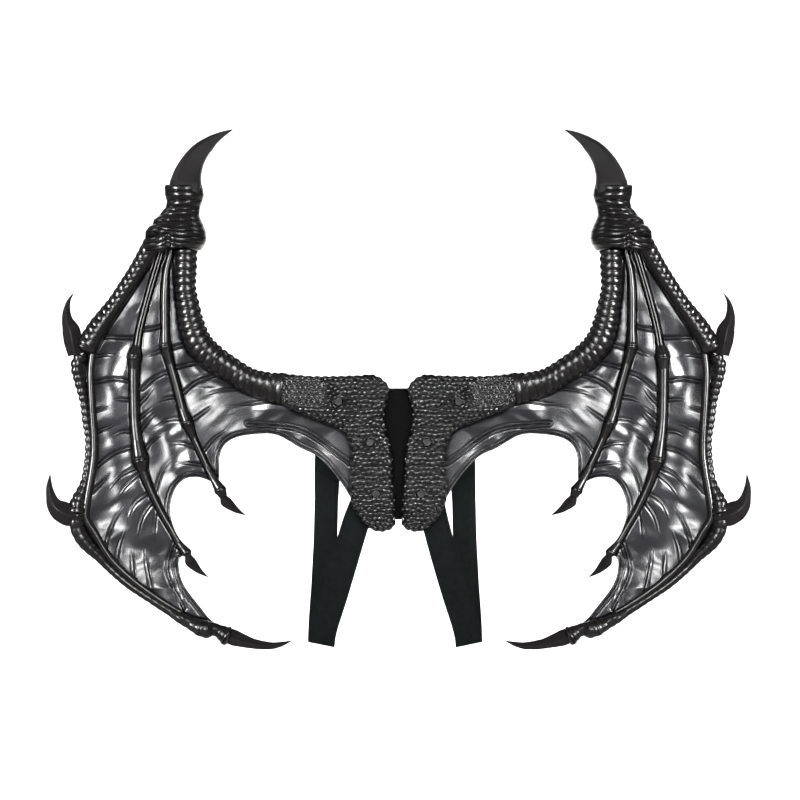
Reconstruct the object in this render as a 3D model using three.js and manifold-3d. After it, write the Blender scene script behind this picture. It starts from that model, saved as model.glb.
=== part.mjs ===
// A pair of dragon wings, worn on the back by two elastic shoulder loops.
// Millimetres, +Z up. The ribbed outer side faces -Y, the wearer's back is at +Y.
// The origin is the middle of the centre plate's rear face. The left wing is the one at -X.

import * as THREE from 'three';
import { mergeVertices } from 'three/addons/utils/BufferGeometryUtils.js';
import Module from 'manifold-3d';

const wasm = await Module();
wasm.setup();

// Driving dimensions
const reach = 386;          // middle of the pair to the outermost point of a wing
const height = 574;         // lowest point of the tail claw to the tip of the horn
const sweep = 40;           // how far forward the outer edge stands of the root
const sweepStart = 0.34;    // share of the reach where the sweep begins
const clearance = 0.3;      // gap between pieces that touch on the real thing
const weld = 0.0001;        // points nearer to each other than this are one point

const centrePlate = { width: 80, height: 145, thick: 5, corner: 5, cornerSteps: 3 };
const basePlate = { thick: 12, bevel: 2.5, steps: 26 };
const sheet = { thick: 2.4, bow: 7, tab: 4, columns: 10, rows: 12, edgeSteps: 7 };
const vein = { width: 5, rise: 1.6, sink: 1.2, tip: 0.25, steps: 2 };
const rim = { width: 4.5, rise: 1.2, inset: 3.5 };
const rivet = { head: 4, rise: 1.8, crown: 0.6, shoulder: 0.8, shank: 1.8, sides: 6 };
const strap = { width: 30, thick: 1.8, gap: 0.5, spread: 34, shift: 7.5, stepsPerRow: 1 };

// Section of a bone: round in front and flat where it lies on the sheet
const lowAngle = -Math.PI / 4;
const highAngle = Math.PI * 5 / 4;
const flatLevel = -Math.sin(lowAngle);

// A table's rows as objects, one key for each named column
function rows(columns, list) {
  return list.map((row) => Object.fromEntries(columns.map((name, i) => [name, row[i]])));
}

// Every route is seen from the front: out is a share of the reach, measured from the middle,
// up a share of the height, measured from the origin, and wide a share of the bone's width.
const routeColumns = ['out', 'up', 'wide'];

const bones = {
  arm: {
    width: 36, thick: 22, sides: 5, pitch: 7.2, groove: 0.9,
    rows: rows(routeColumns, [
      [0.606, 0.390, 0.72],
      [0.607, 0.355, 0.70],
      [0.607, 0.317, 0.66],
      [0.598, 0.281, 0.71],
      [0.590, 0.252, 0.79],
      [0.569, 0.214, 0.86],
      [0.532, 0.187, 0.86],
      [0.472, 0.160, 0.78],
      [0.425, 0.141, 0.81],
      [0.372, 0.130, 0.90],
      [0.338, 0.126, 1.00],
    ]),
  },
  knuckle: {
    width: 70, thick: 34, sides: 8, steps: 15,
    rows: rows(routeColumns, [
      [0.616, 0.520, 0.56],
      [0.615, 0.510, 0.61],
      [0.614, 0.502, 0.57],
      [0.613, 0.494, 0.63],
      [0.613, 0.486, 0.57],
      [0.616, 0.479, 0.59],
      [0.620, 0.472, 0.56],
      [0.625, 0.466, 0.63],
      [0.628, 0.460, 0.65],
      [0.633, 0.451, 0.74],
      [0.636, 0.438, 0.90],
      [0.638, 0.417, 0.97],
      [0.642, 0.405, 1.00],
      [0.643, 0.391, 0.88],
    ]),
  },
  horn: {
    width: 35, thick: 26, sides: 8, steps: 11,
    rows: rows(routeColumns, [
      [0.611, 0.512, 1.00],
      [0.601, 0.543, 0.88],
      [0.589, 0.561, 0.74],
      [0.572, 0.577, 0.55],
      [0.552, 0.591, 0.41],
      [0.528, 0.605, 0.28],
      [0.505, 0.615, 0.16],
      [0.479, 0.622, 0.04],
    ]),
  },
  outer_finger_upper: {
    width: 24, thick: 17, sides: 5, pitch: 7.6, groove: 0.8,
    rows: rows(routeColumns, [
      [0.712, 0.394, 0.87],
      [0.744, 0.356, 0.76],
      [0.806, 0.291, 0.74],
      [0.857, 0.242, 0.94],
      [0.886, 0.208, 1.00],
      [0.897, 0.193, 0.90],
    ]),
  },
  upper_spur: {
    width: 21, thick: 15, sides: 6, steps: 9,
    rows: rows(routeColumns, [
      [0.922, 0.197, 0.84],
      [0.926, 0.216, 0.98],
      [0.932, 0.237, 0.94],
      [0.943, 0.258, 0.57],
      [0.944, 0.278, 0.35],
      [0.937, 0.296, 0.17],
      [0.924, 0.309, 0.04],
    ]),
  },
  outer_finger_lower: {
    width: 20, thick: 14, sides: 5, pitch: 7.8, groove: 0.7,
    rows: rows(routeColumns, [
      [0.903, 0.191, 0.74],
      [0.915, 0.170, 0.73],
      [0.910, 0.145, 0.65],
      [0.896, 0.101, 0.50],
      [0.889, 0.063, 0.50],
      [0.882, 0.026, 0.45],
      [0.884, -0.012, 0.47],
      [0.892, -0.051, 0.52],
      [0.900, -0.070, 0.67],
      [0.912, -0.091, 0.88],
      [0.916, -0.114, 1.00],
    ]),
  },
  outer_rod: {
    width: 7, thick: 7, sides: 5, steps: 16,
    rows: rows(routeColumns, [
      [0.858, 0.208, 0.90],
      [0.875, 0.168, 0.94],
      [0.867, 0.102, 1.00],
      [0.857, 0.007, 1.00],
      [0.860, -0.032, 1.00],
      [0.874, -0.080, 1.00],
      [0.879, -0.116, 1.00],
      [0.860, -0.141, 1.00],
      [0.818, -0.186, 0.96],
      [0.762, -0.226, 0.92],
      [0.692, -0.262, 0.84],
      [0.625, -0.290, 0.70],
    ]),
  },
  lower_spur: {
    width: 27, thick: 17, sides: 6, steps: 9,
    rows: rows(routeColumns, [
      [0.916, -0.116, 0.80],
      [0.938, -0.116, 0.95],
      [0.964, -0.107, 0.86],
      [0.980, -0.096, 0.62],
      [0.988, -0.082, 0.42],
      [0.993, -0.062, 0.26],
      [0.991, -0.038, 0.04],
    ]),
  },
  tail_bone: {
    width: 22, thick: 15, sides: 5, steps: 20,
    rows: rows(routeColumns, [
      [0.916, -0.117, 0.86],
      [0.913, -0.143, 0.76],
      [0.898, -0.164, 0.75],
      [0.877, -0.181, 0.66],
      [0.854, -0.196, 0.55],
      [0.832, -0.213, 0.45],
      [0.775, -0.248, 0.43],
      [0.709, -0.279, 0.40],
      [0.652, -0.303, 0.46],
      [0.622, -0.315, 0.62],
      [0.595, -0.325, 0.66],
      [0.566, -0.334, 0.86],
      [0.546, -0.337, 0.95],
      [0.528, -0.337, 0.68],
      [0.512, -0.341, 0.70],
      [0.491, -0.349, 1.00],
      [0.479, -0.352, 0.80],
    ]),
  },
  tail_claw: {
    width: 20, thick: 14, sides: 6, steps: 8,
    rows: rows(routeColumns, [
      [0.490, -0.348, 0.86],
      [0.468, -0.354, 0.90],
      [0.446, -0.359, 0.75],
      [0.415, -0.365, 0.57],
      [0.386, -0.368, 0.48],
      [0.361, -0.369, 0.40],
      [0.335, -0.366, 0.28],
      [0.303, -0.359, 0.04],
    ]),
  },
  mid_finger: {
    width: 16.5, thick: 11, sides: 5, steps: 19,
    rows: rows(routeColumns, [
      [0.677, 0.390, 0.40],
      [0.710, 0.313, 0.40],
      [0.739, 0.237, 0.40],
      [0.746, 0.208, 0.46],
      [0.752, 0.187, 0.80],
      [0.754, 0.163, 0.62],
      [0.754, 0.110, 0.58],
      [0.752, 0.064, 0.58],
      [0.746, 0.026, 0.66],
      [0.736, -0.011, 1.00],
      [0.729, -0.032, 0.55],
      [0.716, -0.057, 0.46],
      [0.681, -0.108, 0.37],
      [0.646, -0.149, 0.35],
      [0.628, -0.170, 0.42],
      [0.605, -0.190, 0.66],
      [0.598, -0.199, 0.40],
    ]),
  },
  mid_claw: {
    width: 12.5, thick: 9, sides: 6, steps: 6,
    rows: rows(routeColumns, [
      [0.601, -0.196, 0.60],
      [0.595, -0.206, 1.00],
      [0.584, -0.215, 0.84],
      [0.569, -0.225, 0.54],
      [0.544, -0.237, 0.08],
    ]),
  },
  inner_finger: {
    width: 14, thick: 10, sides: 5, steps: 17,
    rows: rows(routeColumns, [
      [0.650, 0.390, 0.40],
      [0.662, 0.351, 0.46],
      [0.666, 0.313, 0.58],
      [0.666, 0.237, 0.62],
      [0.665, 0.208, 0.80],
      [0.652, 0.173, 0.58],
      [0.633, 0.127, 0.58],
      [0.618, 0.087, 0.58],
      [0.603, 0.059, 0.80],
      [0.585, 0.030, 0.46],
      [0.548, -0.024, 0.43],
      [0.528, -0.049, 0.62],
      [0.509, -0.070, 0.96],
      [0.499, -0.085, 0.60],
    ]),
  },
  inner_claw: {
    width: 13, thick: 9, sides: 6, steps: 6,
    rows: rows(routeColumns, [
      [0.501, -0.082, 0.60],
      [0.494, -0.091, 1.00],
      [0.481, -0.099, 0.84],
      [0.464, -0.108, 0.54],
      [0.437, -0.118, 0.08],
    ]),
  },
};

// Which bones a bone is cut back from, so that it seats against them with the clearance
const seatedOn = {
  arm: ['knuckle'],
  horn: ['knuckle'],
  outer_finger_upper: ['knuckle'],
  upper_spur: ['outer_finger_upper', 'outer_finger_lower'],
  outer_finger_lower: ['outer_finger_upper'],
  tail_bone: ['outer_finger_lower'],
  lower_spur: ['outer_finger_lower', 'tail_bone'],
  outer_rod: ['outer_finger_upper'],
  tail_claw: ['tail_bone'],
  mid_finger: ['knuckle'],
  mid_claw: ['mid_finger'],
  inner_finger: ['knuckle', 'arm'],
  inner_claw: ['inner_finger'],
};

// Outline of the root plate. It starts and ends on the straight edge that the arm butts against.
const plateEdge = 0.334;
const plateOutline = rows(['out', 'up'], [
  [plateEdge, 0.156],
  [0.253, 0.150],
  [0.121, 0.151],
  [0.070, 0.152],
  [0.041, 0.141],
  [0.024, 0.122],
  [0.031, 0.101],
  [0.038, 0.072],
  [0.030, 0.041],
  [0.017, 0.007],
  [0.015, -0.051],
  [0.008, -0.108],
  [0.013, -0.140],
  [0.047, -0.150],
  [0.090, -0.141],
  [0.119, -0.117],
  [0.137, -0.087],
  [0.138, -0.022],
  [0.140, 0.018],
  [0.160, 0.042],
  [0.218, 0.060],
  [0.307, 0.085],
  [plateEdge, 0.095],
]);

const rivetPlaces = rows(['out', 'up'], [
  [0.172, 0.100],
  [0.082, 0.022],
  [0.064, -0.077],
]);

// Free edges of the sheet, from the root plate out to the tail
const scallops = [
  rows(['out', 'up'], [
    [0.133, -0.090],
    [0.153, -0.067],
    [0.191, -0.032],
    [0.232, -0.005],
    [0.281, 0.011],
    [0.349, 0.036],
    [0.400, 0.038],
    [0.469, 0.030],
    [0.498, 0.016],
    [0.511, -0.007],
    [0.512, -0.037],
    [0.514, -0.062],
  ]),
  rows(['out', 'up'], [
    [0.522, -0.058],
    [0.566, -0.046],
    [0.606, -0.047],
    [0.633, -0.062],
    [0.650, -0.092],
    [0.650, -0.122],
    [0.634, -0.153],
    [0.606, -0.186],
  ]),
  rows(['out', 'up'], [
    [0.610, -0.192],
    [0.626, -0.203],
    [0.626, -0.226],
    [0.613, -0.252],
    [0.566, -0.295],
    [0.538, -0.318],
    [0.494, -0.340],
  ]),
];

// Where the sheet passes behind the root plate: the plate's edge, out at each height
const rootEdge = rows(['up', 'out'], [
  [0.126, 0.338],
  [0.085, 0.307],
  [0.060, 0.218],
  [0.042, 0.160],
  [0.018, 0.140],
  [-0.090, 0.137],
]);

// Main veins: root, middle and end of each, and how much of its width is left at the end
const veins = rows(['out', 'up', 'viaOut', 'viaUp', 'endOut', 'endUp', 'left'], [
  [0.837, 0.224, 0.795, 0.223, 0.757, 0.223, 1],
  [0.864, 0.138, 0.817, 0.144, 0.768, 0.140, 1],
  [0.856, -0.022, 0.809, 0.002, 0.760, 0.013, 1],
  [0.736, -0.038, 0.775, -0.060, 0.806, -0.090, 0],
  [0.713, -0.075, 0.753, -0.095, 0.776, -0.131, 0],
  [0.832, -0.182, 0.817, -0.135, 0.782, -0.096, 0],
  [0.703, -0.266, 0.718, -0.219, 0.729, -0.175, 0],
  [0.645, -0.160, 0.661, -0.223, 0.617, -0.292, 1],
  [0.674, 0.247, 0.700, 0.241, 0.729, 0.238, 1],
  [0.658, 0.158, 0.695, 0.146, 0.740, 0.124, 1],
  [0.698, -0.074, 0.678, -0.037, 0.649, -0.010, 0],
  [0.618, 0.114, 0.578, 0.139, 0.530, 0.154, 1],
  [0.558, 0.002, 0.529, 0.028, 0.488, 0.050, 0],
  [0.432, 0.058, 0.281, 0.048, 0.146, -0.018, 1],
]);

// Corner of the sheet behind the root plate, and the height that it ends at below
const hiddenCorner = { out: 0.28, up: 0.128 };
const hiddenFoot = -0.085;

// Shoulder loop, from the rivet near the arm down to the fold and up to the other two rivets.
// back is a share of the spread between the legs, tilt and turn are degrees, free is how much of
// the sideways shift applies.
const strapColumns = ['out', 'up', 'back', 'tilt', 'turn', 'free'];
const outerLeg = rows(strapColumns, [
  [0.190, 0.128, 0.00, 0, 0, 0],
  [0.191, 0.093, 0.03, 0, 0, 0],
  [0.194, 0.066, 0.10, 0, 0, 0.2],
  [0.197, 0.036, 0.28, 0, -4, 0.5],
  [0.203, -0.012, 0.58, 2, -14, 1],
  [0.207, -0.089, 0.92, 3, -28, 1],
  [0.210, -0.166, 1.00, 4, -28, 1],
  [0.215, -0.261, 0.80, 7, -20, 1],
  [0.219, -0.318, 0.55, 10, -8, 1],
  [0.221, -0.352, 0.44, 11, -2, 1],
]);
const innerLeg = rows(strapColumns, [
  [0.221, -0.367, 0.27, 12, 0, 1],
  [0.219, -0.354, 0.12, 12, 0, 1],
  [0.211, -0.330, 0.07, 13, 0, 1],
  [0.184, -0.273, 0.06, 16, 0, 1],
  [0.150, -0.196, 0.03, 16, 0, 1],
  [0.119, -0.127, 0.00, 17, 0, 0.8],
  [0.086, -0.070, 0.00, 14, 0, 0],
  [0.072, -0.012, 0.00, 8, 0, 0],
  [0.069, 0.037, 0.00, 3, 0, 0],
]);

// How far forward (-Y) the front of the unbowed sheet lies at a distance x from the middle
function sheetFront(x) {
  const beyond = Math.max(0, Math.abs(x) / reach - sweepStart) / (1 - sweepStart);
  return -centrePlate.thick - sweep * beyond * beyond;
}

function placed(out, up) {
  return new THREE.Vector3(-out * reach, 0, up * height);
}

function splineThrough(list) {
  return new THREE.CatmullRomCurve3(list.map((row) => placed(row.out, row.up)), false, 'centripetal');
}

// A column's value at t, which runs evenly from the table's first row to its last
function columnAt(list, name, t) {
  const place = t * (list.length - 1);
  const before = Math.min(Math.floor(place), list.length - 2);
  return THREE.MathUtils.lerp(list[before][name], list[before + 1][name], place - before);
}

// How far out a route passes at the height up, for a route whose rows run steadily downwards
function outAt(list, up) {
  const next = list.findIndex((row) => row.up <= up);
  if (next === 0) return list[0].out;
  if (next < 0) return list.at(-1).out;
  const [above, below] = [list[next - 1], list[next]];
  return THREE.MathUtils.mapLinear(up, above.up, below.up, above.out, below.out);
}

// Solids and geometries
function toSolid(geometry) {
  const bare = geometry.clone();
  bare.deleteAttribute('normal');
  bare.deleteAttribute('uv');
  const merged = mergeVertices(bare, weld);
  return new wasm.Manifold(new wasm.Mesh({
    numProp: 3,
    vertProperties: Float32Array.from(merged.attributes.position.array),
    triVerts: Uint32Array.from(merged.index.array),
  }));
}

function toGeometry(solid) {
  const { vertProperties, triVerts } = solid.getMesh();
  const geometry = new THREE.BufferGeometry();
  geometry.setAttribute('position', new THREE.Float32BufferAttribute(vertProperties, 3));
  geometry.setIndex([...triVerts]);
  const faceted = geometry.toNonIndexed();
  faceted.computeVertexNormals();
  return faceted;
}

// The largest body of a solid that a cut may have left with crumbs
function mainBody(solid) {
  return solid.decompose().sort((a, b) => b.volume() - a.volume())[0];
}

// A closed tube: rings of points, equally many in each, joined side by side and capped flat.
// A thin one has its two faces split along the same diagonal, so that a twist keeps it thick.
function closedTube(rings, thin = false) {
  const sides = rings[0].length;
  const points = rings.flat().flatMap((p) => [p.x, p.y, p.z]);
  const faces = [];
  for (let ring = 0; ring < rings.length - 1; ring++) {
    for (let side = 0; side < sides; side++) {
      const a = ring * sides + side;
      const b = ring * sides + (side + 1) % sides;
      if (thin && side >= sides / 2) faces.push(a, b, a + sides, b, b + sides, a + sides);
      else faces.push(a, b, b + sides, a, b + sides, a + sides);
    }
  }
  const last = (rings.length - 1) * sides;
  for (let side = 1; side < sides - 1; side++) {
    faces.push(0, side + 1, side, last, last + side, last + side + 1);
  }
  const geometry = new THREE.BufferGeometry();
  geometry.setAttribute('position', new THREE.Float32BufferAttribute(points, 3));
  geometry.setIndex(faces);
  return geometry;
}

// A bone follows its route on the front of the sheet. Ringed bones alternate ridge and groove.
// With grow it is the bone's seat: larger all round, longer, and open to the back.
function boneSolid(bone, grow = 0) {
  const route = splineThrough(bone.rows);
  const rings = bone.pitch ? Math.round(route.getLength() / bone.pitch) : 0;
  const steps = bone.steps ?? (grow > 0 ? rings : 2 * rings);
  const sections = [];
  for (let step = 0; step <= steps; step++) {
    const t = route.getUtoTmapping(step / steps);
    const along = route.getTangent(t);
    const overrun = step === 0 ? -grow : step === steps ? grow : 0;
    const centre = route.getPoint(t).addScaledVector(along, overrun);
    const wide = columnAt(bone.rows, 'wide', t);
    const groove = bone.pitch && step % 2 === 0 && grow === 0 ? bone.groove : 0;
    const half = bone.width * wide / 2 - groove + grow;
    const rise = bone.thick * wide - groove + grow;
    const section = [];
    for (let side = 0; side < bone.sides; side++) {
      const angle = THREE.MathUtils.lerp(lowAngle, highAngle, side / (bone.sides - 1));
      const across = Math.cos(angle) * half;
      const x = centre.x - along.z * across;
      const z = centre.z + along.x * across;
      const atBack = side === 0 || side === bone.sides - 1;
      const front = atBack ? -2 * grow : rise * (Math.sin(angle) + flatLevel) / (1 + flatLevel);
      section.push(new THREE.Vector3(x, sheetFront(x) - clearance - front, z));
    }
    sections.push(section);
  }
  return toSolid(closedTube(sections));
}

function boneGeometry(name) {
  let solid = boneSolid(bones[name]);
  for (const seat of seatedOn[name] ?? []) {
    solid = solid.subtract(boneSolid(bones[seat], clearance));
  }
  if (name === 'arm') solid = solid.subtract(plateSide());
  return toGeometry(mainBody(solid));
}

// Everything on the root plate's side of its straight edge, and the clearance in front of it
function plateSide() {
  const from = plateEdge * reach + clearance;
  const geometry = new THREE.BoxGeometry(from, reach, height);
  geometry.translate(-from / 2, 0, 0);
  return toSolid(geometry);
}

// Sheet: how far it sags back between the bones on either side of a point
const outerEdge = [
  ...bones.outer_finger_upper.rows,
  ...bones.outer_finger_lower.rows,
  ...bones.tail_bone.rows.slice(1),
];
const innerEdge = [...bones.arm.rows.slice(0, -1), ...rootEdge];

function sagAt(x, z) {
  const out = Math.abs(x) / reach;
  const up = z / height;
  const lines = [outerEdge, bones.mid_finger.rows, bones.inner_finger.rows, innerEdge];
  const places = lines.map((list) => outAt(list, up));
  for (let panel = 0; panel < places.length - 1; panel++) {
    const [far, near] = [places[panel], places[panel + 1]];
    if (out <= far && out >= near) {
      return sheet.bow * Math.sin(Math.PI * (far - out) / (far - near)) ** 2;
    }
  }
  return 0;
}

// Outline of the sheet. Under the bones it follows their middle lines.
function sheetOutline() {
  const tab = (centrePlate.width / 2 + sheet.tab) / reach;
  const behindPlate = [hiddenCorner, { out: tab, up: hiddenCorner.up }, { out: tab, up: hiddenFoot }];
  const edges = scallops.flatMap((list) => splineThrough(list).getPoints(sheet.edgeSteps));
  const underBones = [
    ...bones.tail_bone.rows.slice(0, -1).reverse(),
    ...bones.outer_finger_lower.rows.slice(0, -1).reverse(),
    ...bones.outer_finger_upper.rows.slice(0, -1).reverse(),
    ...bones.arm.rows,
    ...behindPlate,
  ].map((row) => placed(row.out, row.up));
  return [...edges, ...underBones].map((p) => new THREE.Vector2(p.x, p.z));
}

// A shape drawn from the front and carried back along Y, from y = from to y = to
function prism(shape, from, to, options = {}) {
  const geometry = new THREE.ExtrudeGeometry(shape, { depth: to - from, bevelEnabled: false, ...options });
  geometry.rotateX(Math.PI / 2);
  geometry.translate(0, to, 0);
  return geometry;
}

const outline = sheetOutline();
const outlineBox = new THREE.Box2().setFromPoints(outline).expandByScalar(clearance);
const cell = outlineBox.getSize(new THREE.Vector2()).divide(new THREE.Vector2(sheet.columns, sheet.rows));

// A corner of the grid that the sheet is faceted by, on the sheet's front
function gridPoint(column, line) {
  const x = outlineBox.min.x + column * cell.x;
  const z = outlineBox.min.y + line * cell.y;
  return new THREE.Vector3(x, sheetFront(x) + sagAt(x, z), z);
}

// Depth of the faceted front at any place, so that ridges lie on its facets
function faceAt(x, z) {
  const [across, along] = [(x - outlineBox.min.x) / cell.x, (z - outlineBox.min.y) / cell.y];
  const [column, line] = [Math.floor(across), Math.floor(along)];
  const [right, top] = [across - column, along - line];
  const low = gridPoint(column, line).y;
  const high = gridPoint(column + 1, line + 1).y;
  const turn = right > top ? gridPoint(column + 1, line).y : gridPoint(column, line + 1).y;
  const [first, second] = right > top ? [right, top] : [top, right];
  return low + (turn - low) * first + (high - turn) * second;
}

// The bowed slab: a grid of points on the front and the same grid one thickness behind
function slabSolid() {
  const { columns, rows: lines, thick } = sheet;
  const points = [];
  for (const back of [0, thick]) {
    for (let line = 0; line <= lines; line++) {
      for (let column = 0; column <= columns; column++) {
        const point = gridPoint(column, line);
        points.push(point.x, point.y + back, point.z);
      }
    }
  }
  const wide = columns + 1;
  const layer = wide * (lines + 1);
  const faces = [];
  for (let line = 0; line < lines; line++) {
    for (let column = 0; column < columns; column++) {
      const a = line * wide + column;
      const [b, c, d] = [a + 1, a + wide + 1, a + wide];
      faces.push(a, b, c, a, c, d);
      faces.push(a + layer, c + layer, b + layer, a + layer, d + layer, c + layer);
    }
  }
  const wall = (a, b) => faces.push(b, b + layer, a + layer, b, a + layer, a);
  for (let column = 0; column < columns; column++) {
    wall(column + 1, column);
    wall(lines * wide + column, lines * wide + column + 1);
  }
  for (let line = 0; line < lines; line++) {
    wall(line * wide, (line + 1) * wide);
    wall((line + 1) * wide + columns, line * wide + columns);
  }
  const geometry = new THREE.BufferGeometry();
  geometry.setAttribute('position', new THREE.Float32BufferAttribute(points, 3));
  geometry.setIndex(faces);
  return toSolid(geometry);
}

// A three-sided ridge on the sheet along a curve: two feet sunk in the sheet and a crest
function ridgeSolid(curve, steps, halfAt, rise, inset = 0) {
  const rings = [];
  for (let step = 0; step <= steps; step++) {
    const t = step / steps;
    const centre = curve.getPoint(t);
    const along = curve.getTangent(t);
    const side = new THREE.Vector2(-along.z, along.x);
    const half = halfAt(t);
    rings.push([-1, 0, 1].map((across) => {
      const x = centre.x + side.x * (across * half + inset);
      const z = centre.z + side.y * (across * half + inset);
      const forward = across === 0 ? rise : -vein.sink;
      return new THREE.Vector3(x, faceAt(x, z) - forward, z);
    }));
  }
  const solid = toSolid(closedTube(rings));
  return solid.volume() > 0 ? solid : toSolid(closedTube(rings.map((ring) => ring.reverse())));
}

function membraneGeometry() {
  const cutter = toSolid(prism(new THREE.Shape(outline), -reach, reach));
  let solid = slabSolid();
  for (const row of veins) {
    const points = [placed(row.out, row.up), placed(row.viaOut, row.viaUp), placed(row.endOut, row.endUp)];
    const left = Math.max(row.left, vein.tip);
    const halfAt = (t) => vein.width / 2 * THREE.MathUtils.lerp(1, left, t);
    solid = solid.add(ridgeSolid(new THREE.CatmullRomCurve3(points), vein.steps, halfAt, vein.rise));
  }
  for (const list of scallops) {
    const inside = list.slice(1, -1);
    const halfAt = () => rim.width / 2;
    solid = solid.add(ridgeSolid(splineThrough(inside), sheet.edgeSteps - 2, halfAt, rim.rise, -rim.inset));
  }
  solid = solid.intersect(cutter).subtract(holeSolid(rivetPlaces[0]));
  return toGeometry(mainBody(solid));
}

// Root plate, rivets and their holes
function plateShape() {
  const edge = splineThrough(plateOutline).getPoints(basePlate.steps);
  return new THREE.Shape(edge.map((p) => new THREE.Vector2(p.x, p.z)));
}

const plateBack = -centrePlate.thick - clearance;
const plateFront = plateBack - basePlate.thick;

function basePlateGeometry() {
  const { bevel } = basePlate;
  const geometry = prism(plateShape(), plateFront + bevel, plateBack - bevel, {
    bevelEnabled: true,
    bevelThickness: bevel,
    bevelSize: bevel,
    bevelOffset: -bevel,
    bevelSegments: 1,
  });
  let solid = toSolid(geometry);
  for (const place of rivetPlaces) {
    solid = solid.subtract(holeSolid(place));
  }
  return toGeometry(solid);
}

// Something turned about an axis along Y, at a place on the wing, from radius and depth pairs
function turned(profile, place, sides) {
  const geometry = new THREE.LatheGeometry(profile.map(([radius, y]) => new THREE.Vector2(radius, y)), sides);
  const { x, z } = placed(place.out, place.up);
  geometry.translate(x, 0, z);
  return geometry;
}

function holeSolid(place) {
  const radius = rivet.shank + clearance;
  const [front, back] = [plateFront - rivet.rise, strapSeat + strap.thick * 2];
  return toSolid(turned([[0, front], [radius, front], [radius, back], [0, back]], place, rivet.sides));
}

// Both ends of a strap lie against the back of the sheet, let into the back of the centre plate.
// The rivets end flush with the strap.
const strapSeat = -centrePlate.thick + sheet.thick + strap.gap + strap.thick / 2;

function rivetGeometry(index) {
  const head = plateFront - clearance;
  const tail = strapSeat + strap.thick / 2;
  return turned([
    [0, head - rivet.rise],
    [rivet.head * rivet.crown, head - rivet.rise * rivet.shoulder],
    [rivet.head, head],
    [rivet.shank, head],
    [rivet.shank, tail],
    [0, tail],
  ], rivetPlaces[index], rivet.sides);
}

// Centre plate with rounded corners and a recess for the end of each strap
function centrePlateGeometry() {
  const { width, height: tall, thick, corner, cornerSteps } = centrePlate;
  const [x, z] = [width / 2, tall / 2];
  const shape = new THREE.Shape();
  shape.moveTo(-x + corner, -z);
  shape.lineTo(x - corner, -z);
  shape.absarc(x - corner, -z + corner, corner, -Math.PI / 2, 0);
  shape.absarc(x - corner, z - corner, corner, 0, Math.PI / 2);
  shape.absarc(-x + corner, z - corner, corner, Math.PI / 2, Math.PI);
  shape.absarc(-x + corner, -z + corner, corner, Math.PI, Math.PI * 1.5);
  let solid = toSolid(prism(shape, -thick, 0, { curveSegments: cornerSteps }));
  solid = solid.subtract(strapSolid(innerLeg, 0, clearance));
  solid = solid.subtract(strapSolid(innerLeg, strap.shift, clearance).mirror([1, 0, 0]));
  for (const place of rivetPlaces.slice(1)) {
    solid = solid.subtract(holeSolid(place));
    solid = solid.subtract(holeSolid({ out: -place.out, up: place.up }));
  }
  return toGeometry(solid);
}

// A flat section carried along the legs of a shoulder loop.
// With grow it is the strap's recess: larger all round, longer, and open to the back.
function strapSolid(legs, shift, grow = 0) {
  const front = -strap.thick / 2 - grow;
  const back = strap.thick / 2 + (grow > 0 ? centrePlate.thick : 0);
  const middle = new THREE.CatmullRomCurve3(legs.map((row) => {
    const point = placed(row.out, row.up);
    point.x += shift * row.free;
    point.y = strapSeat + row.back * strap.spread;
    return point;
  }), false, 'centripetal');
  const steps = (legs.length - 1) * strap.stepsPerRow;
  const rings = [];
  for (let step = 0; step <= steps; step++) {
    const t = step / steps;
    const tilt = THREE.MathUtils.degToRad(columnAt(legs, 'tilt', t));
    const turn = THREE.MathUtils.degToRad(columnAt(legs, 'turn', t));
    const along = middle.getTangent(t);
    const across = new THREE.Vector3(Math.cos(tilt) * Math.cos(turn), Math.sin(turn), -Math.sin(tilt));
    across.addScaledVector(along, -across.dot(along)).normalize();
    const through = new THREE.Vector3().crossVectors(along, across).normalize();
    const centre = middle.getPoint(t).addScaledVector(along, step === steps ? grow : 0);
    const corners = [[1, back], [-1, back], [-1, front], [1, front]];
    rings.push(corners.map(([side, depth]) => centre.clone()
      .addScaledVector(across, side * (strap.width / 2 + grow))
      .addScaledVector(through, depth)));
  }
  return toSolid(closedTube(rings, true));
}

// Shoulder loop: down one leg, round the fold and up the other
function strapGeometry(shift) {
  let solid = strapSolid([...outerLeg, ...innerLeg], shift);
  for (const place of rivetPlaces) {
    solid = solid.subtract(holeSolid(place));
  }
  return toGeometry(mainBody(solid));
}

// Finishes
const finishes = {
  membrane: { color: 0x3c3c42, roughness: 0.28, metalness: 0 },
  horn: { color: 0x37343a, roughness: 0.35, metalness: 0 },
  bone: { color: 0x2d2a2a, roughness: 0.38, metalness: 0 },
  hide: { color: 0x18181b, roughness: 0.45, metalness: 0 },
  rivet: { color: 0x4b484b, roughness: 0.5, metalness: 0.4 },
  plate: { color: 0x101012, roughness: 0.6, metalness: 0 },
  elastic: { color: 0x222727, roughness: 0.85, metalness: 0 },
};

function piece(name, geometry, finish) {
  const mesh = new THREE.Mesh(geometry, new THREE.MeshStandardMaterial(finishes[finish]));
  mesh.name = name;
  return mesh;
}

// One wing, built at -X. The right one is the same wing mirrored.
function wing(side) {
  const group = new THREE.Group();
  for (const name of Object.keys(bones)) {
    const smooth = /horn|claw|spur/.test(name);
    group.add(piece(`${side}_${name}`, boneGeometry(name), smooth ? 'horn' : 'bone'));
  }
  group.add(piece(`${side}_membrane`, membraneGeometry(), 'membrane'));
  group.add(piece(`${side}_base_plate`, basePlateGeometry(), 'hide'));
  rivetPlaces.forEach((place, index) => {
    group.add(piece(`${side}_rivet_${index + 1}`, rivetGeometry(index), 'rivet'));
  });
  group.add(piece(`${side}_strap`, strapGeometry(side === 'right' ? strap.shift : 0), 'elastic'));
  group.scale.x = side === 'right' ? -1 : 1;
  return group;
}

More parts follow.
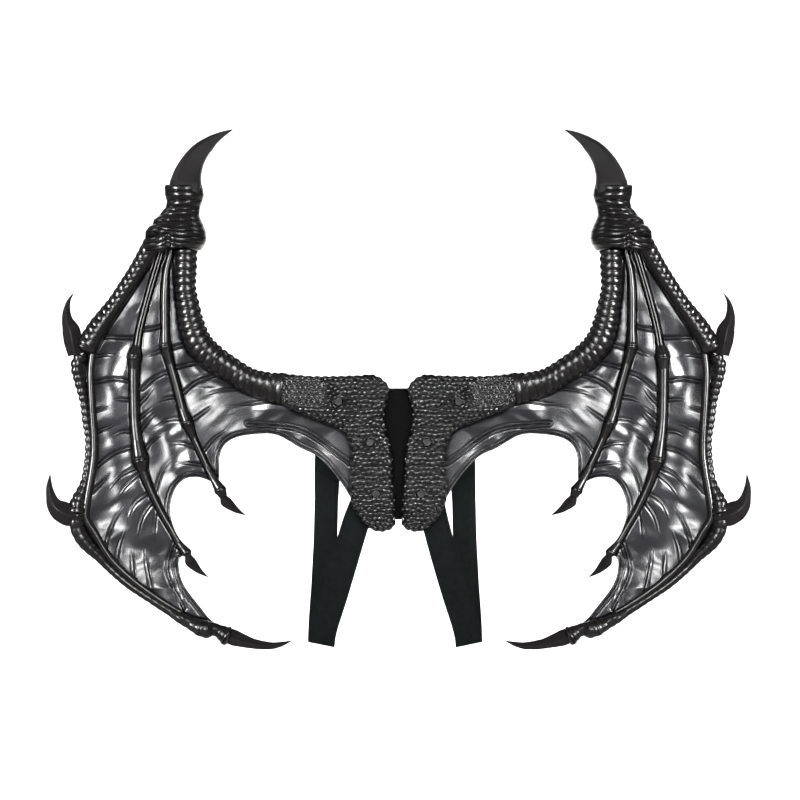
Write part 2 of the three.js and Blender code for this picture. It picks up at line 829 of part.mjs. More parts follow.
const dragonWings = new THREE.Group();
dragonWings.add(wing('left'), wing('right'), piece('centre_plate', centrePlateGeometry(), 'plate'));

export default dragonWings;
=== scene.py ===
# Dragon wings on elastic shoulder loops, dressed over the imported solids.
# Metres, +Z up, the ribbed side towards -Y. Everything is worked out for the left wing, at -X,
# and mirrored for the right one.

import math

import bpy
import numpy as np
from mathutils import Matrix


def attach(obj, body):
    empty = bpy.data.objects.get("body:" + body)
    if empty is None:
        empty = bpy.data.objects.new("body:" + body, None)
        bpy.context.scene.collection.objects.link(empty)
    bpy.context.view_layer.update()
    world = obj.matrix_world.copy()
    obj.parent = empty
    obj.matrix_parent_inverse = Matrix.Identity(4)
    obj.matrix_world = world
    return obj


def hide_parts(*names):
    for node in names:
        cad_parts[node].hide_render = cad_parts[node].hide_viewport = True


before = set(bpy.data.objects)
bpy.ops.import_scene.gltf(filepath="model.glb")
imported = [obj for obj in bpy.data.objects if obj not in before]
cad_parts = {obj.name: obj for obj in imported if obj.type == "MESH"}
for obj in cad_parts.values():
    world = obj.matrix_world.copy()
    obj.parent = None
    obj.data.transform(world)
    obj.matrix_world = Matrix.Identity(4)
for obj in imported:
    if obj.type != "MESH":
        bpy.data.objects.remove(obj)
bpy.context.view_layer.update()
print("solids loaded")

# Sizes that all pieces share, the same as in the solids
wing = {
    "reach": 0.386,          # middle of the pair to the outermost point
    "height": 0.574,         # tail claw to horn tip
    "sweep": 0.040,          # how far forward the outer edge stands
    "sweepStart": 0.34,      # share of the reach where that begins
    "rootDepth": 0.005,      # front of the sheet at the root
    "gap": 0.0003,           # between a bone and the sheet
}


# A table of shares as places seen from the front: x = -out * reach, z = up * height
def places(table):
    table = np.array(table, float)
    return np.stack([-table[:, 0] * wing["reach"], table[:, 1] * wing["height"]], 1)


# Front of the unbowed sheet: y = -rootDepth - sweep * (share of the way out past sweepStart) squared
def sheetFront(x):
    beyond = np.maximum(0, np.abs(x) / wing["reach"] - wing["sweepStart"]) / (1 - wing["sweepStart"])
    return -wing["rootDepth"] - wing["sweep"] * beyond ** 2


# Centripetal Catmull-Rom curve through the rows of points. Knots are spaced by the square root of
# the chords, and each span blends its four nearest points by three rounds of linear blends.
# Returns evenly spaced points, the row number at each, and the length to each.
def curveThrough(points, spacing):
    points = np.array(points, float)
    ends = np.vstack([2 * points[0] - points[1], points, 2 * points[-1] - points[-2]])
    knots = np.concatenate([[0], np.cumsum(np.linalg.norm(np.diff(ends, axis=0), axis=1) ** 0.5)])
    first = np.arange(len(points) - 1)
    p = [ends[first + k][:, None, :] for k in range(4)]
    t = [knots[first + k][:, None, None] for k in range(4)]
    share = np.linspace(0, 1, 24, endpoint=False)[None, :, None]
    at = t[1] + (t[2] - t[1]) * share

    def blend(a, b, ta, tb):
        return (tb - at) / (tb - ta) * a + (at - ta) / (tb - ta) * b

    low, mid, high = (blend(p[k], p[k + 1], t[k], t[k + 1]) for k in range(3))
    left, right = blend(low, mid, t[0], t[2]), blend(mid, high, t[1], t[3])
    fine = np.vstack([blend(left, right, t[1], t[2]).reshape(-1, points.shape[1]), points[-1:]])
    rowAt = np.concatenate([(first[:, None] + share[0, :, 0]).ravel(), [len(points) - 1]])
    length = np.concatenate([[0], np.cumsum(np.linalg.norm(np.diff(fine, axis=0), axis=1))])
    steps = max(2, int(round(length[-1] / spacing)))
    even = np.linspace(0, length[-1], steps + 1)
    spaced = np.stack([np.interp(even, length, fine[:, k]) for k in range(points.shape[1])], 1)
    return spaced, np.interp(even, length, rowAt), even


def column(table, index, rowAt):
    values = np.array(table, float)[:, index]
    return np.interp(rowAt, np.arange(len(values)), values)


def smooth(edge0, edge1, value):
    share = np.clip((value - edge0) / (edge1 - edge0), 0, 1)
    return share * share * (3 - 2 * share)


def bump(value, middle, spread):
    return np.exp(-((value - middle) / spread) ** 2)


# Seeded smooth noise from -1 to 1: random values on a lattice of the given cell sizes, eased between
def softNoise(x, z, cellX, cellZ, seed):
    table = np.random.default_rng(seed).uniform(-1, 1, (64, 64))
    u, v = np.asarray(x) / cellX + 100, np.asarray(z) / cellZ + 100
    i, j = np.floor(u).astype(int), np.floor(v).astype(int)
    fu, fv = u - i, v - j
    fu, fv = fu * fu * (3 - 2 * fu), fv * fv * (3 - 2 * fv)
    corner = lambda a, b: table[(i + a) % 64, (j + b) % 64]
    near = corner(0, 0) * (1 - fu) + corner(1, 0) * fu
    far = corner(0, 1) * (1 - fu) + corner(1, 1) * fu
    return near * (1 - fv) + far * fv


# Distance from each point to a line of points, and how far along the line (0 to 1) the nearest place is
def nearestOn(points, line):
    a, b = line[:-1], line[1:]
    run = b - a
    long = np.maximum((run ** 2).sum(1), 1e-18)
    offset = points[:, None, :] - a[None]
    share = np.clip((offset * run[None]).sum(2) / long[None], 0, 1)
    gap = offset - share[..., None] * run[None]
    distance = np.sqrt((gap ** 2).sum(2))
    best = distance.argmin(1)
    pick = np.arange(len(points))
    return distance[pick, best], (best + share[pick, best]) / len(a), share[pick, best], best


backMark = 0.3               # how strongly the painted crease shade shows on the back of a sheet or shell


def meshOf(name, points, quads, tris=None, smoothAngle=None):
    tris = np.zeros((0, 3), int) if tris is None else np.asarray(tris)
    corners = np.concatenate([quads.ravel(), tris.ravel()]).astype(np.int32)
    starts = np.concatenate([np.arange(len(quads)) * 4, len(quads) * 4 + np.arange(len(tris)) * 3])
    mesh = bpy.data.meshes.new(name)
    mesh.vertices.add(len(points))
    mesh.vertices.foreach_set("co", points.astype(np.float32).ravel())
    mesh.loops.add(len(corners))
    mesh.loops.foreach_set("vertex_index", corners)
    mesh.polygons.add(len(starts))
    mesh.polygons.foreach_set("loop_start", starts.astype(np.int32))
    mesh.update(calc_edges=True)
    mesh.validate()
    mesh.shade_smooth()
    if smoothAngle:
        mesh.set_sharp_from_angle(angle=math.radians(smoothAngle))
    return mesh


# Six times the volume that the faces enclose: its sign tells whether they face outwards
def faceTurn(points, quads, tris):
    a, b, c, d = (points[quads[:, k]] for k in range(4))
    total = (a * np.cross(b, c)).sum() + (a * np.cross(c, d)).sum()
    if tris is not None and len(tris):
        a, b, c = (points[tris[:, k]] for k in range(3))
        total += (a * np.cross(b, c)).sum()
    return total


# One finished piece from a shape, with its marks, the painted crease shade, kept as point attributes for the
# material
def addPiece(name, shape, finish, nodes, mirrored=False, smoothAngle=None):
    points, quads, tris = shape["points"], shape["quads"], shape.get("tris")
    if faceTurn(points, quads, tris) < 0:
        quads = quads[:, ::-1]
        tris = None if tris is None else tris[:, ::-1]
    if mirrored:
        points = points * np.array([-1, 1, 1])
        quads = quads[:, ::-1]
        tris = None if tris is None else tris[:, ::-1]
    mesh = meshOf(name, points, quads, tris, smoothAngle)
    for key, values in shape.get("marks", {}).items():
        kind = "FLOAT_VECTOR" if values.ndim == 2 else "FLOAT"
        layer = mesh.attributes.new(key, kind, "POINT")
        layer.data.foreach_set("vector" if values.ndim == 2 else "value", values.astype(np.float32).ravel())
    piece = bpy.data.objects.new(name, mesh)
    bpy.context.scene.collection.objects.link(piece)
    mesh.materials.append(finish)
    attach(piece, "root")
    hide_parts(*nodes)
    return piece


def bothSides(name, shape, finish, nodes, smoothAngle=None):
    for side in ("left", "right"):
        addPiece(f"{side}_{name}_skin", shape, finish, [f"{side}_{node}" for node in nodes],
                 side == "right", smoothAngle)


# A closed tube from a grid of points, rings by sides, with a middle point at each end
def tubeShape(grid, marks=None):
    rings, sides = grid.shape[:2]
    ids = np.arange(rings * sides).reshape(rings, sides)
    turned = np.roll(ids, -1, 1)
    quads = np.stack([ids[:-1], turned[:-1], turned[1:], ids[1:]], -1).reshape(-1, 4)
    points = np.vstack([grid.reshape(-1, 3), grid[0].mean(0), grid[-1].mean(0)])
    start, end = rings * sides, rings * sides + 1
    tris = np.vstack([
        np.stack([np.full(sides, start), turned[0], ids[0]], 1),
        np.stack([np.full(sides, end), ids[-1], turned[-1]], 1),
    ])
    shape = {"points": points, "quads": quads, "tris": tris, "marks": {}}
    for key, values in (marks or {}).items():
        flat = values.reshape(rings * sides, -1)
        flat = np.vstack([flat, flat[:sides].mean(0), flat[-sides:].mean(0)])
        shape["marks"][key] = flat if flat.shape[1] > 1 else flat[:, 0]
    return shape


# A closed shell from a front grid and a back grid of the same size. The back shows the marks, which are
# painted shade, faintly.
def shellShape(front, back, marks=None):
    rows, cols = front.shape[:2]
    ids = np.arange(rows * cols).reshape(rows, cols)
    behind = ids + rows * cols
    face = np.stack([ids[:-1, :-1], ids[:-1, 1:], ids[1:, 1:], ids[1:, :-1]], -1).reshape(-1, 4)
    rim = np.concatenate([ids[0, :-1], ids[:-1, -1], ids[-1, :0:-1], ids[:0:-1, 0]])
    ahead = np.roll(rim, -1)
    walls = np.stack([ahead, rim, rim + rows * cols, ahead + rows * cols], 1)
    quads = np.vstack([face, face[:, ::-1] + rows * cols, walls])
    points = np.vstack([front.reshape(-1, 3), back.reshape(-1, 3)])
    shape = {"points": points, "quads": quads, "marks": {}}
    for key, values in (marks or {}).items():
        flat = values.reshape(rows * cols, -1)
        shape["marks"][key] = np.concatenate([flat, backMark * flat]).squeeze()
    return shape


# A flat grid of square cells cut to an outline. Cells whose middle is inside are kept (even-odd
# rule along each line of cells), and their outermost corners are moved onto the outline.
def cutGrid(outline, spacing):
    low, high = outline.min(0) - spacing, outline.max(0) + spacing
    xs, zs = np.arange(low[0], high[0] + spacing, spacing), np.arange(low[1], high[1] + spacing, spacing)
    midX, midZ = xs[:-1] + spacing / 2, zs[:-1] + spacing / 2
    a, b = outline, np.roll(outline, -1, 0)
    crosses = (a[:, 1:2] > midZ) != (b[:, 1:2] > midZ)
    edge, line = np.nonzero(crosses)
    crossX = a[edge, 0] + (midZ[line] - a[edge, 1]) / (b[edge, 1] - a[edge, 1]) * (b[edge, 0] - a[edge, 0])
    count = np.zeros((len(midZ), len(midX) + 1), int)
    np.add.at(count, (line, np.searchsorted(midX, crossX)), 1)
    kept = np.cumsum(count, 1)[:, :-1] % 2 == 1
    lines, cols = len(zs), len(xs)
    ids = np.arange(lines * cols).reshape(lines, cols)
    cellIds = np.stack([ids[:-1, :-1], ids[:-1, 1:], ids[1:, 1:], ids[1:, :-1]], -1)
    cells = cellIds[kept]
    around = np.bincount(cells.ravel(), minlength=lines * cols)
    used = np.nonzero(around)[0]
    renumber = np.full(lines * cols, -1)
    renumber[used] = np.arange(len(used))
    flat = np.stack([xs[used % cols], zs[used // cols]], 1)
    onEdge = around[used] < 4
    closed = np.vstack([outline, outline[:1]])
    _, _, share, best = nearestOn(flat[onEdge], closed)
    flat[onEdge] = closed[best] + share[:, None] * (closed[best + 1] - closed[best])
    solid = np.pad(kept, 1)
    inner = solid[1:-1, 1:-1]
    walls = [cellIds[inner & ~solid[:-2, 1:-1]][:, [0, 1]], cellIds[inner & ~solid[1:-1, 2:]][:, [1, 2]],
             cellIds[inner & ~solid[2:, 1:-1]][:, [2, 3]], cellIds[inner & ~solid[1:-1, :-2]][:, [3, 0]]]
    return flat, renumber[cells], renumber[np.vstack(walls)]


# A slab from a cut grid: front and back depths at each of its points, joined round the edge. The
# back shows the marks, which are painted shade, faintly.
def slabShape(flat, cells, walls, front, back, marks=None):
    count = len(flat)
    points = np.vstack([np.stack([flat[:, 0], depth, flat[:, 1]], 1) for depth in (front, back)])
    sides = np.stack([walls[:, 1], walls[:, 0], walls[:, 0] + count, walls[:, 1] + count], 1)
    shape = {"points": points, "quads": np.vstack([cells, cells[:, ::-1] + count, sides]), "marks": {}}
    for key, values in (marks or {}).items():
        shape["marks"][key] = np.concatenate([values, backMark * values])
    return shape


# Materials

# sRGB hex to the linear values that a shader wants: ((c + 0.055) / 1.055) ^ 2.4 above 0.04045
def fromHex(text):
    parts = np.array([int(text[k:k + 2], 16) for k in (1, 3, 5)]) / 255
    linear = np.where(parts > 0.04045, ((parts + 0.055) / 1.055) ** 2.4, parts / 12.92)
    return (*linear.tolist(), 1.0)


def addNode(tree, kind, values=None, **settings):
    node = tree.nodes.new(kind)
    for key, value in settings.items():
        setattr(node, key, value)
    for key, value in (values or {}).items():
        if isinstance(value, bpy.types.NodeSocket):
            tree.links.new(value, node.inputs[key])
        else:
            node.inputs[key].default_value = value
    return node


finishes = {
    # PVC coated stretch cloth, IOR 1.53: wet-looking, with crisp bright patches
    "sheet skin": {"color": "#1c1c20", "dark": "#121215", "roughness": 0.27, "gloss": 0.85, "ior": 1.53,
                   "grain": 0.0011, "depth": 0.00005, "mottle": 0.03},
    # painted latex foam, IOR 1.52: smooth and semi-gloss, one bright line on each ring
    "bone latex": {"color": "#151313", "dark": "#0f0e0e", "roughness": 0.24, "gloss": 0.52, "ior": 1.52,
                   "grain": 0.0016, "depth": 0.00008, "mottle": 0.012},
    # satin painted polyurethane, IOR 1.5: wide dull highlights on the facets
    "horn polyurethane": {"color": "#1b191a", "dark": "#181617", "roughness": 0.42, "gloss": 0.2, "ior": 1.5,
                          "grain": 0.0022, "depth": 0.00004, "mottle": 0.014},
    # gloss painted latex scales, IOR 1.52: small sharp sparkles on black
    "scale latex": {"color": "#060607", "dark": "#040405", "roughness": 0.18, "gloss": 1.0, "ior": 1.52,
                    "grain": 0.0012, "depth": 0.00004, "mottle": 0.008},
    # matt painted steel rivets, seen as the paint alone: flat grey discs
    "painted rivet": {"color": "#2b292b", "dark": "#232123", "roughness": 0.6, "gloss": 0.3, "ior": 1.5,
                      "grain": 0.0007, "depth": 0.00002, "mottle": 0.004},
    # matt polypropylene sheet, IOR 1.49: almost no highlight
    "plate polypropylene": {"color": "#020202", "dark": "#010101", "roughness": 0.6, "gloss": 0.04,
                            "ior": 1.49, "grain": 0.0006, "depth": 0.00003, "mottle": 0.01},
    # knitted polyester elastic, IOR 1.55: dull, with fine ribs along it
    "strap elastic": {"color": "#0c1010", "dark": "#080b0b", "roughness": 0.9, "gloss": 0.12, "ior": 1.55,
                      "grain": 0.0005, "depth": 0.00008, "mottle": 0.006},
}


# Principled surface: colour eased between two shades by a soft mottle, grain as fine relief.
# Where the shape's painted shade mark is 1, the colour and the gloss fall to a tenth: painted shade in its
# creases, grooves and gaps.
def makeFinish(name):
    spec = finishes[name]
    finish = bpy.data.materials.new(name)
    finish.use_nodes = True
    tree = finish.node_tree
    shader = tree.nodes["Principled BSDF"]
    shader.inputs["Roughness"].default_value = spec["roughness"]
    shader.inputs["IOR"].default_value = spec["ior"]
    where = addNode(tree, "ShaderNodeTexCoord").outputs["Object"]
    mottle = addNode(tree, "ShaderNodeTexNoise",
                     {"Vector": where, "Scale": 1 / spec["mottle"], "Detail": 3.0})
    spread = addNode(tree, "ShaderNodeMapRange",
                     {"Value": mottle.outputs["Fac"], "From Min": 0.3, "From Max": 0.6})
    tint = addNode(tree, "ShaderNodeMix", data_type="RGBA")
    tint.inputs[6].default_value, tint.inputs[7].default_value = fromHex(spec["dark"]), fromHex(spec["color"])
    tree.links.new(spread.outputs["Result"], tint.inputs[0])
    # painted shade: the mark lowers colour and gloss where shade would fall in creases and gaps
    paintedShade = addNode(tree, "ShaderNodeAttribute", attribute_name="paintedShade").outputs["Fac"]
    shadeRange = addNode(tree, "ShaderNodeMapRange", {"Value": paintedShade, "To Min": 1.0, "To Max": 0.1})
    unshaded = shadeRange.outputs["Result"]
    shaded = addNode(tree, "ShaderNodeVectorMath", {0: tint.outputs[2]}, operation="SCALE")
    tree.links.new(unshaded, shaded.inputs["Scale"])
    tree.links.new(shaded.outputs["Vector"], shader.inputs["Base Color"])
    gloss = addNode(tree, "ShaderNodeMath", {0: unshaded, 1: spec["gloss"]}, operation="MULTIPLY")
    tree.links.new(gloss.outputs["Value"], shader.inputs["Specular IOR Level"])
    grain = addNode(tree, "ShaderNodeTexNoise", {"Vector": where, "Scale": 1 / spec["grain"], "Detail": 2.0})
    relief = addNode(tree, "ShaderNodeBump", {"Height": grain.outputs["Fac"], "Strength": 1.0,
                                              "Distance": spec["depth"]})
    tree.links.new(relief.outputs["Normal"], shader.inputs["Normal"])
    return finish


made = {name: makeFinish(name) for name in finishes}
print("materials made")

# Bones
# Rows are out, up and wide: shares of the reach, the height and the bone's width.

bones = {
    "arm": {
        "width": 0.036, "thick": 0.022, "pitch": 0.0084, "groove": 0.0017, "sides": 40, "lower": 0.30,
        "rows": [(0.606, 0.396, 0.72), (0.607, 0.355, 0.70), (0.607, 0.317, 0.66), (0.598, 0.281, 0.71),
                 (0.590, 0.252, 0.79), (0.569, 0.214, 0.86), (0.532, 0.187, 0.86), (0.472, 0.160, 0.78),
                 (0.425, 0.141, 0.81), (0.372, 0.130, 0.90), (0.328, 0.1255, 1.00)],
    },
    "outer_finger_upper": {
        "width": 0.024, "thick": 0.017, "pitch": 0.0079, "groove": 0.0009, "sides": 40, "ringSide": -1,
        "tip": 0.007,
        "rows": [(0.700, 0.407, 0.87), (0.744, 0.356, 0.76), (0.806, 0.291, 0.74), (0.857, 0.242, 0.94),
                 (0.886, 0.208, 1.00), (0.897, 0.193, 0.90)],
    },
    "outer_finger_lower": {
        "width": 0.020, "thick": 0.014, "pitch": 0.0078, "groove": 0.0013, "sides": 32,
        "rows": [(0.903, 0.191, 0.74), (0.915, 0.170, 0.73), (0.910, 0.145, 0.65), (0.896, 0.101, 0.50),
                 (0.889, 0.063, 0.50), (0.882, 0.026, 0.45), (0.884, -0.012, 0.47), (0.892, -0.051, 0.52),
                 (0.900, -0.070, 0.67), (0.912, -0.091, 0.88), (0.916, -0.114, 1.00)],
    },
    "outer_rod": {
        "width": 0.010, "thick": 0.009, "pitch": 0.0, "groove": 0.0, "sides": 24,
        "rows": [(0.868, 0.205, 0.80), (0.876, 0.160, 0.84), (0.873, 0.102, 0.90), (0.866, 0.007, 0.92),
                 (0.872, -0.032, 0.92), (0.886, -0.089, 0.92), (0.890, -0.122, 0.90), (0.866, -0.150, 0.86),
                 (0.823, -0.198, 0.82), (0.763, -0.239, 0.76), (0.686, -0.278, 0.70), (0.616, -0.307, 0.60)],
    },
    "tail_bone": {
        "width": 0.022, "thick": 0.015, "pitch": 0.0082, "groove": 0.0006, "sides": 28,
        "rows": [(0.916, -0.112, 0.86), (0.913, -0.143, 0.76), (0.898, -0.164, 0.75), (0.877, -0.181, 0.66),
                 (0.854, -0.196, 0.55), (0.832, -0.213, 0.45), (0.775, -0.248, 0.43), (0.709, -0.279, 0.40),
                 (0.652, -0.303, 0.46), (0.622, -0.315, 0.62), (0.595, -0.325, 0.66), (0.566, -0.334, 0.86),
                 (0.546, -0.337, 0.95), (0.528, -0.337, 0.68), (0.512, -0.341, 0.70), (0.491, -0.349, 1.00),
                 (0.479, -0.352, 0.80)],
    },
    "mid_finger": {
        "width": 0.0165, "thick": 0.011, "pitch": 0.0, "groove": 0.0, "sides": 40, "split": 4.5,
        "rows": [(0.664, 0.425, 0.40), (0.677, 0.390, 0.40), (0.710, 0.313, 0.40), (0.739, 0.237, 0.40),
                 (0.746, 0.208, 0.46), (0.752, 0.187, 0.80), (0.754, 0.163, 0.62), (0.754, 0.110, 0.58),
                 (0.752, 0.064, 0.58), (0.746, 0.026, 0.66), (0.736, -0.011, 1.00), (0.729, -0.032, 0.55),
                 (0.716, -0.057, 0.46), (0.681, -0.108, 0.37), (0.646, -0.149, 0.35), (0.628, -0.170, 0.42),
                 (0.605, -0.190, 0.66), (0.598, -0.199, 0.40)],
    },
    "inner_finger": {
        "width": 0.014, "thick": 0.010, "pitch": 0.0, "groove": 0.0, "sides": 28,
        "rows": [(0.655, 0.425, 0.40), (0.650, 0.390, 0.40), (0.662, 0.351, 0.46), (0.666, 0.313, 0.58),
                 (0.666, 0.237, 0.62), (0.665, 0.208, 0.80), (0.652, 0.173, 0.58), (0.633, 0.127, 0.58),
                 (0.618, 0.087, 0.58), (0.603, 0.059, 0.80), (0.585, 0.030, 0.46), (0.548, -0.024, 0.43),
                 (0.528, -0.049, 0.62), (0.509, -0.070, 0.96), (0.499, -0.085, 0.60)],
    },
}

# Rings on a bone's knobs: row, how far they stand out, and the space between the two
knobs = {
    "mid_finger": [(5, 0.0007, 0.0034), (10, 0.0008, 0.0036), (16, 0.0005, 0.0026)],
    "inner_finger": [(5, 0.0006, 0.0030), (9, 0.0006, 0.0028), (13, 0.0006, 0.0026)],
    "tail_bone": [(11, 0.0006, 0.0034), (15, 0.0007, 0.0034)],
}

# How the rings wander along a bone and vary in depth, how broad a knob's humps are, and how deep a
# split bone's furrow is
ringMarks = {"wander": 0.10, "wanderCell": 0.011, "uneven": 0.25, "unevenCell": 0.009, "hump": 0.0011,
             "furrow": 0.0016}


# Bone: at length s along its route the section is x = half * cos(a) across and, in front of the
# sheet, rise * (sin(a) + f) / (1 + f) with f = 0.707, never under 0. Rings add
# groove * (|sin(pi * s / pitch)| ^ 0.8 - 1) to both, knobs add two narrow humps, and a split bone
# has a furrow along its crest. ringSide -1 keeps the rings to the outer half.
def boneShape(name):
    bone = bones[name]
    route, rowAt, length = curveThrough(places(bone["rows"]), 0.0007)
    wide = column(bone["rows"], 2, rowAt)
    angle = np.radians(np.linspace(-90, 270, bone["sides"], endpoint=False))[None, :]
    rough = np.zeros((len(length), bone["sides"]))
    paintedShade = np.zeros_like(rough)
    if bone["pitch"]:
        wander = ringMarks["wander"] * softNoise(length, length * 0, ringMarks["wanderCell"], 1, 5)
        rings = round(length[-1] / bone["pitch"])
        phase = length / length[-1] * rings + wander * np.sin(np.pi * length / length[-1])
        uneven = ringMarks["uneven"] * softNoise(length, length * 0, ringMarks["unevenCell"], 1, 9)
        deep = bone["groove"] * (1 + uneven)
        onSide = 0.25 + 0.75 * np.abs(np.cos(angle)) ** 1.5
        if bone.get("ringSide"):
            onSide = smooth(0.6, -0.6, np.cos(angle))
        wave = np.abs(np.sin(np.pi * phase))
        rough = (deep * (wave ** 0.8 - 1))[:, None] * onSide
        # painted shade in the ring grooves, strongest on the flanks
        paintedShade = np.clip(1 - 2.6 * wave, 0, 1)[:, None] * onSide * 0.9
    for row, stand, apart in knobs.get(name, []):
        middle = np.interp(row, rowAt, length)
        for place in (middle - apart / 2, middle + apart / 2):
            rough = rough + (stand * bump(length, place, ringMarks["hump"]))[:, None]
        # painted shade between a knob's two humps
        paintedShade = np.maximum(paintedShade, bump(length, middle, 0.0006)[:, None])
    if "split" in bone:
        ending = smooth(bone["split"], bone["split"] - 0.5, rowAt)[:, None]
        furrow = bump(np.cos(angle), 0.1, 0.26) * (np.sin(angle) > 0) * ending
        rough = rough - ringMarks["furrow"] * furrow
        # painted shade in the furrow of a split bone
        paintedShade = np.maximum(paintedShade, furrow ** 2)
    lower = 1 - bone.get("lower", 0) * smooth(length[-1] - 0.045, length[-1] - 0.008, length)
    half = (bone["width"] * wide / 2)[:, None] + rough
    rise = (bone["thick"] * wide * lower)[:, None] + rough
    tangent = np.gradient(route, axis=0)
    tangent /= np.linalg.norm(tangent, axis=1, keepdims=True)
    level = math.sqrt(0.5)
    endShare = np.minimum(length / 0.002, (length[-1] - length) / bone.get("tip", 0.002))[:, None]
    closing = np.sqrt(np.clip(1 - (1 - np.clip(endShare, 0, 1)) ** 2, 0.02, 1))
    across = np.cos(angle) * half * closing
    x = route[:, 0:1] - tangent[:, 1:2] * across
    z = route[:, 1:2] + tangent[:, 0:1] * across
    lift = np.maximum((np.sin(angle) + level) / (1 + level), 0) * rise * closing
    y = sheetFront(x) - wing["gap"] - lift
    return tubeShape(np.stack([x, y, z], -1), {"paintedShade": paintedShade})


for boneName in bones:
    bothSides(boneName, boneShape(boneName), made["bone latex"], [boneName], 70)
print("bones laid")

# Horn, spurs and claws
# crest is where the ridge runs, -1 outer edge to 1 inner edge, and flat how much of the face is level

blades = {
    "horn": {
        "width": 0.035, "thick": 0.020, "crest": 0.55, "flat": 1.35, "edge": 0.45, "full": 0.5,
        "rows": [(0.611, 0.507, 1.00), (0.607, 0.520, 1.00), (0.602, 0.537, 0.88), (0.586, 0.5625, 0.70),
                 (0.564, 0.583, 0.56), (0.546, 0.594, 0.46), (0.530, 0.603, 0.35), (0.502, 0.6146, 0.19),
                 (0.474, 0.6235, 0.03)],
    },
    "upper_spur": {
        "width": 0.021, "thick": 0.015, "crest": 0.1, "flat": 0.1, "edge": 0.35,
        "rows": [(0.918, 0.190, 0.84), (0.926, 0.216, 0.98), (0.932, 0.237, 0.94), (0.943, 0.258, 0.57),
                 (0.944, 0.278, 0.35), (0.937, 0.296, 0.17), (0.924, 0.309, 0.03)],
    },
    "lower_spur": {
        "width": 0.027, "thick": 0.017, "crest": 0.1, "flat": 0.1, "edge": 0.35,
        "rows": [(0.916, -0.116, 0.80), (0.938, -0.116, 0.95), (0.964, -0.107, 0.86), (0.980, -0.096, 0.62),
                 (0.988, -0.082, 0.42), (0.993, -0.062, 0.26), (0.991, -0.038, 0.03)],
    },
    "tail_claw": {
        "width": 0.020, "thick": 0.014, "crest": 0.0, "flat": 0.0, "edge": 0.35,
        "rows": [(0.490, -0.348, 0.86), (0.468, -0.354, 0.90), (0.446, -0.359, 0.75), (0.415, -0.365, 0.57),
                 (0.386, -0.368, 0.48), (0.361, -0.369, 0.40), (0.335, -0.366, 0.28), (0.303, -0.359, 0.03)],
    },
    "mid_claw": {
        "width": 0.0125, "thick": 0.009, "crest": 0.0, "flat": 0.0, "edge": 0.35,
        "rows": [(0.601, -0.196, 0.60), (0.595, -0.206, 1.00), (0.584, -0.215, 0.84), (0.569, -0.225, 0.54),
                 (0.544, -0.237, 0.06)],
    },
    "inner_claw": {
        "width": 0.013, "thick": 0.009, "crest": 0.0, "flat": 0.0, "edge": 0.35,
        "rows": [(0.501, -0.082, 0.60), (0.494, -0.091, 1.00), (0.481, -0.099, 0.84), (0.464, -0.108, 0.54),
                 (0.437, -0.118, 0.06)],
    },
}


# Blade: across q from -1 to 1 the face stands rise * (edge + (1 - edge) * slope ^ full) in front of
# the sheet, where slope falls from 1 at the crest's flat to 0 at either edge
def bladeShape(name):
    blade = blades[name]
    route, rowAt, length = curveThrough(places(blade["rows"]), 0.0008)
    wide = column(blade["rows"], 2, rowAt)
    half, rise = blade["width"] * wide / 2, blade["thick"] * wide
    tangent = np.gradient(route, axis=0)
    tangent /= np.linalg.norm(tangent, axis=1, keepdims=True)
    q = np.linspace(-1, 1, 33)
    low, high = blade["crest"] - blade["flat"], blade["crest"]
    slope = np.where(q < low, (q + 1) / (low + 1), np.where(q > high, (1 - q) / (1 - high), 1))
    face = blade["edge"] + (1 - blade["edge"]) * np.clip(slope, 0, 1) ** blade.get("full", 1)
    section = np.concatenate([q, [1, 0.96], q[::-4], [-0.96, -1]])
    stand = np.concatenate([face, [0.18, 0.04], np.zeros(len(q[::-4])), [0.04, 0.18]])
    across = section[None, :] * half[:, None]
    x = route[:, 0:1] - tangent[:, 1:2] * across
    z = route[:, 1:2] + tangent[:, 0:1] * across
    y = sheetFront(x) - wing["gap"] - stand[None, :] * rise[:, None]
    return tubeShape(np.stack([x, y, z], -1))


for bladeName in blades:
    bothSides(bladeName, bladeShape(bladeName), made["horn polyurethane"], [bladeName], 28)
print("horn and claws set")

# Knuckle

knuckle = {
    "thick": 0.47,           # share of its width that it stands forward
    "lip": 0.0009, "notchX": -0.2533, "notchLift": 0.0098, "notchBroad": 0.0058, "lobeLift": 0.0120,
    "wander": 0.0016, "fineWander": 0.0006, "dent": 0.0030, "grain": 0.0001,
    # up, and how far out its outer and inner edges are
    "rows": [(0.5165, 0.667, 0.560), (0.5117, 0.669, 0.559), (0.5059, 0.668, 0.557), (0.4963, 0.667, 0.555),
             (0.4848, 0.662, 0.560), (0.4733, 0.666, 0.566), (0.4676, 0.674, 0.567), (0.4580, 0.684, 0.568),
             (0.4503, 0.699, 0.564), (0.4408, 0.703, 0.557), (0.4369, 0.713, 0.555), (0.4273, 0.723, 0.549),
             (0.4139, 0.724, 0.547), (0.4043, 0.727, 0.550), (0.3967, 0.731, 0.557), (0.3890, 0.728, 0.565)],
    # furrows between the rubber folds, from the collar down: up, and how far the fold below stands out
    "furrows": [(0.5180, 0.0016), (0.5050, 0.0019), (0.4862, 0.0021), (0.4735, 0.0015), (0.4652, 0.0013),
                (0.4567, 0.0018), (0.4450, 0.0019), (0.4342, 0.0014), (0.4250, 0.0021), (0.4132, 0.0022),
                (0.4025, 0.0018), (0.3930, 0.0010), (0.3850, 0.0010)],
}


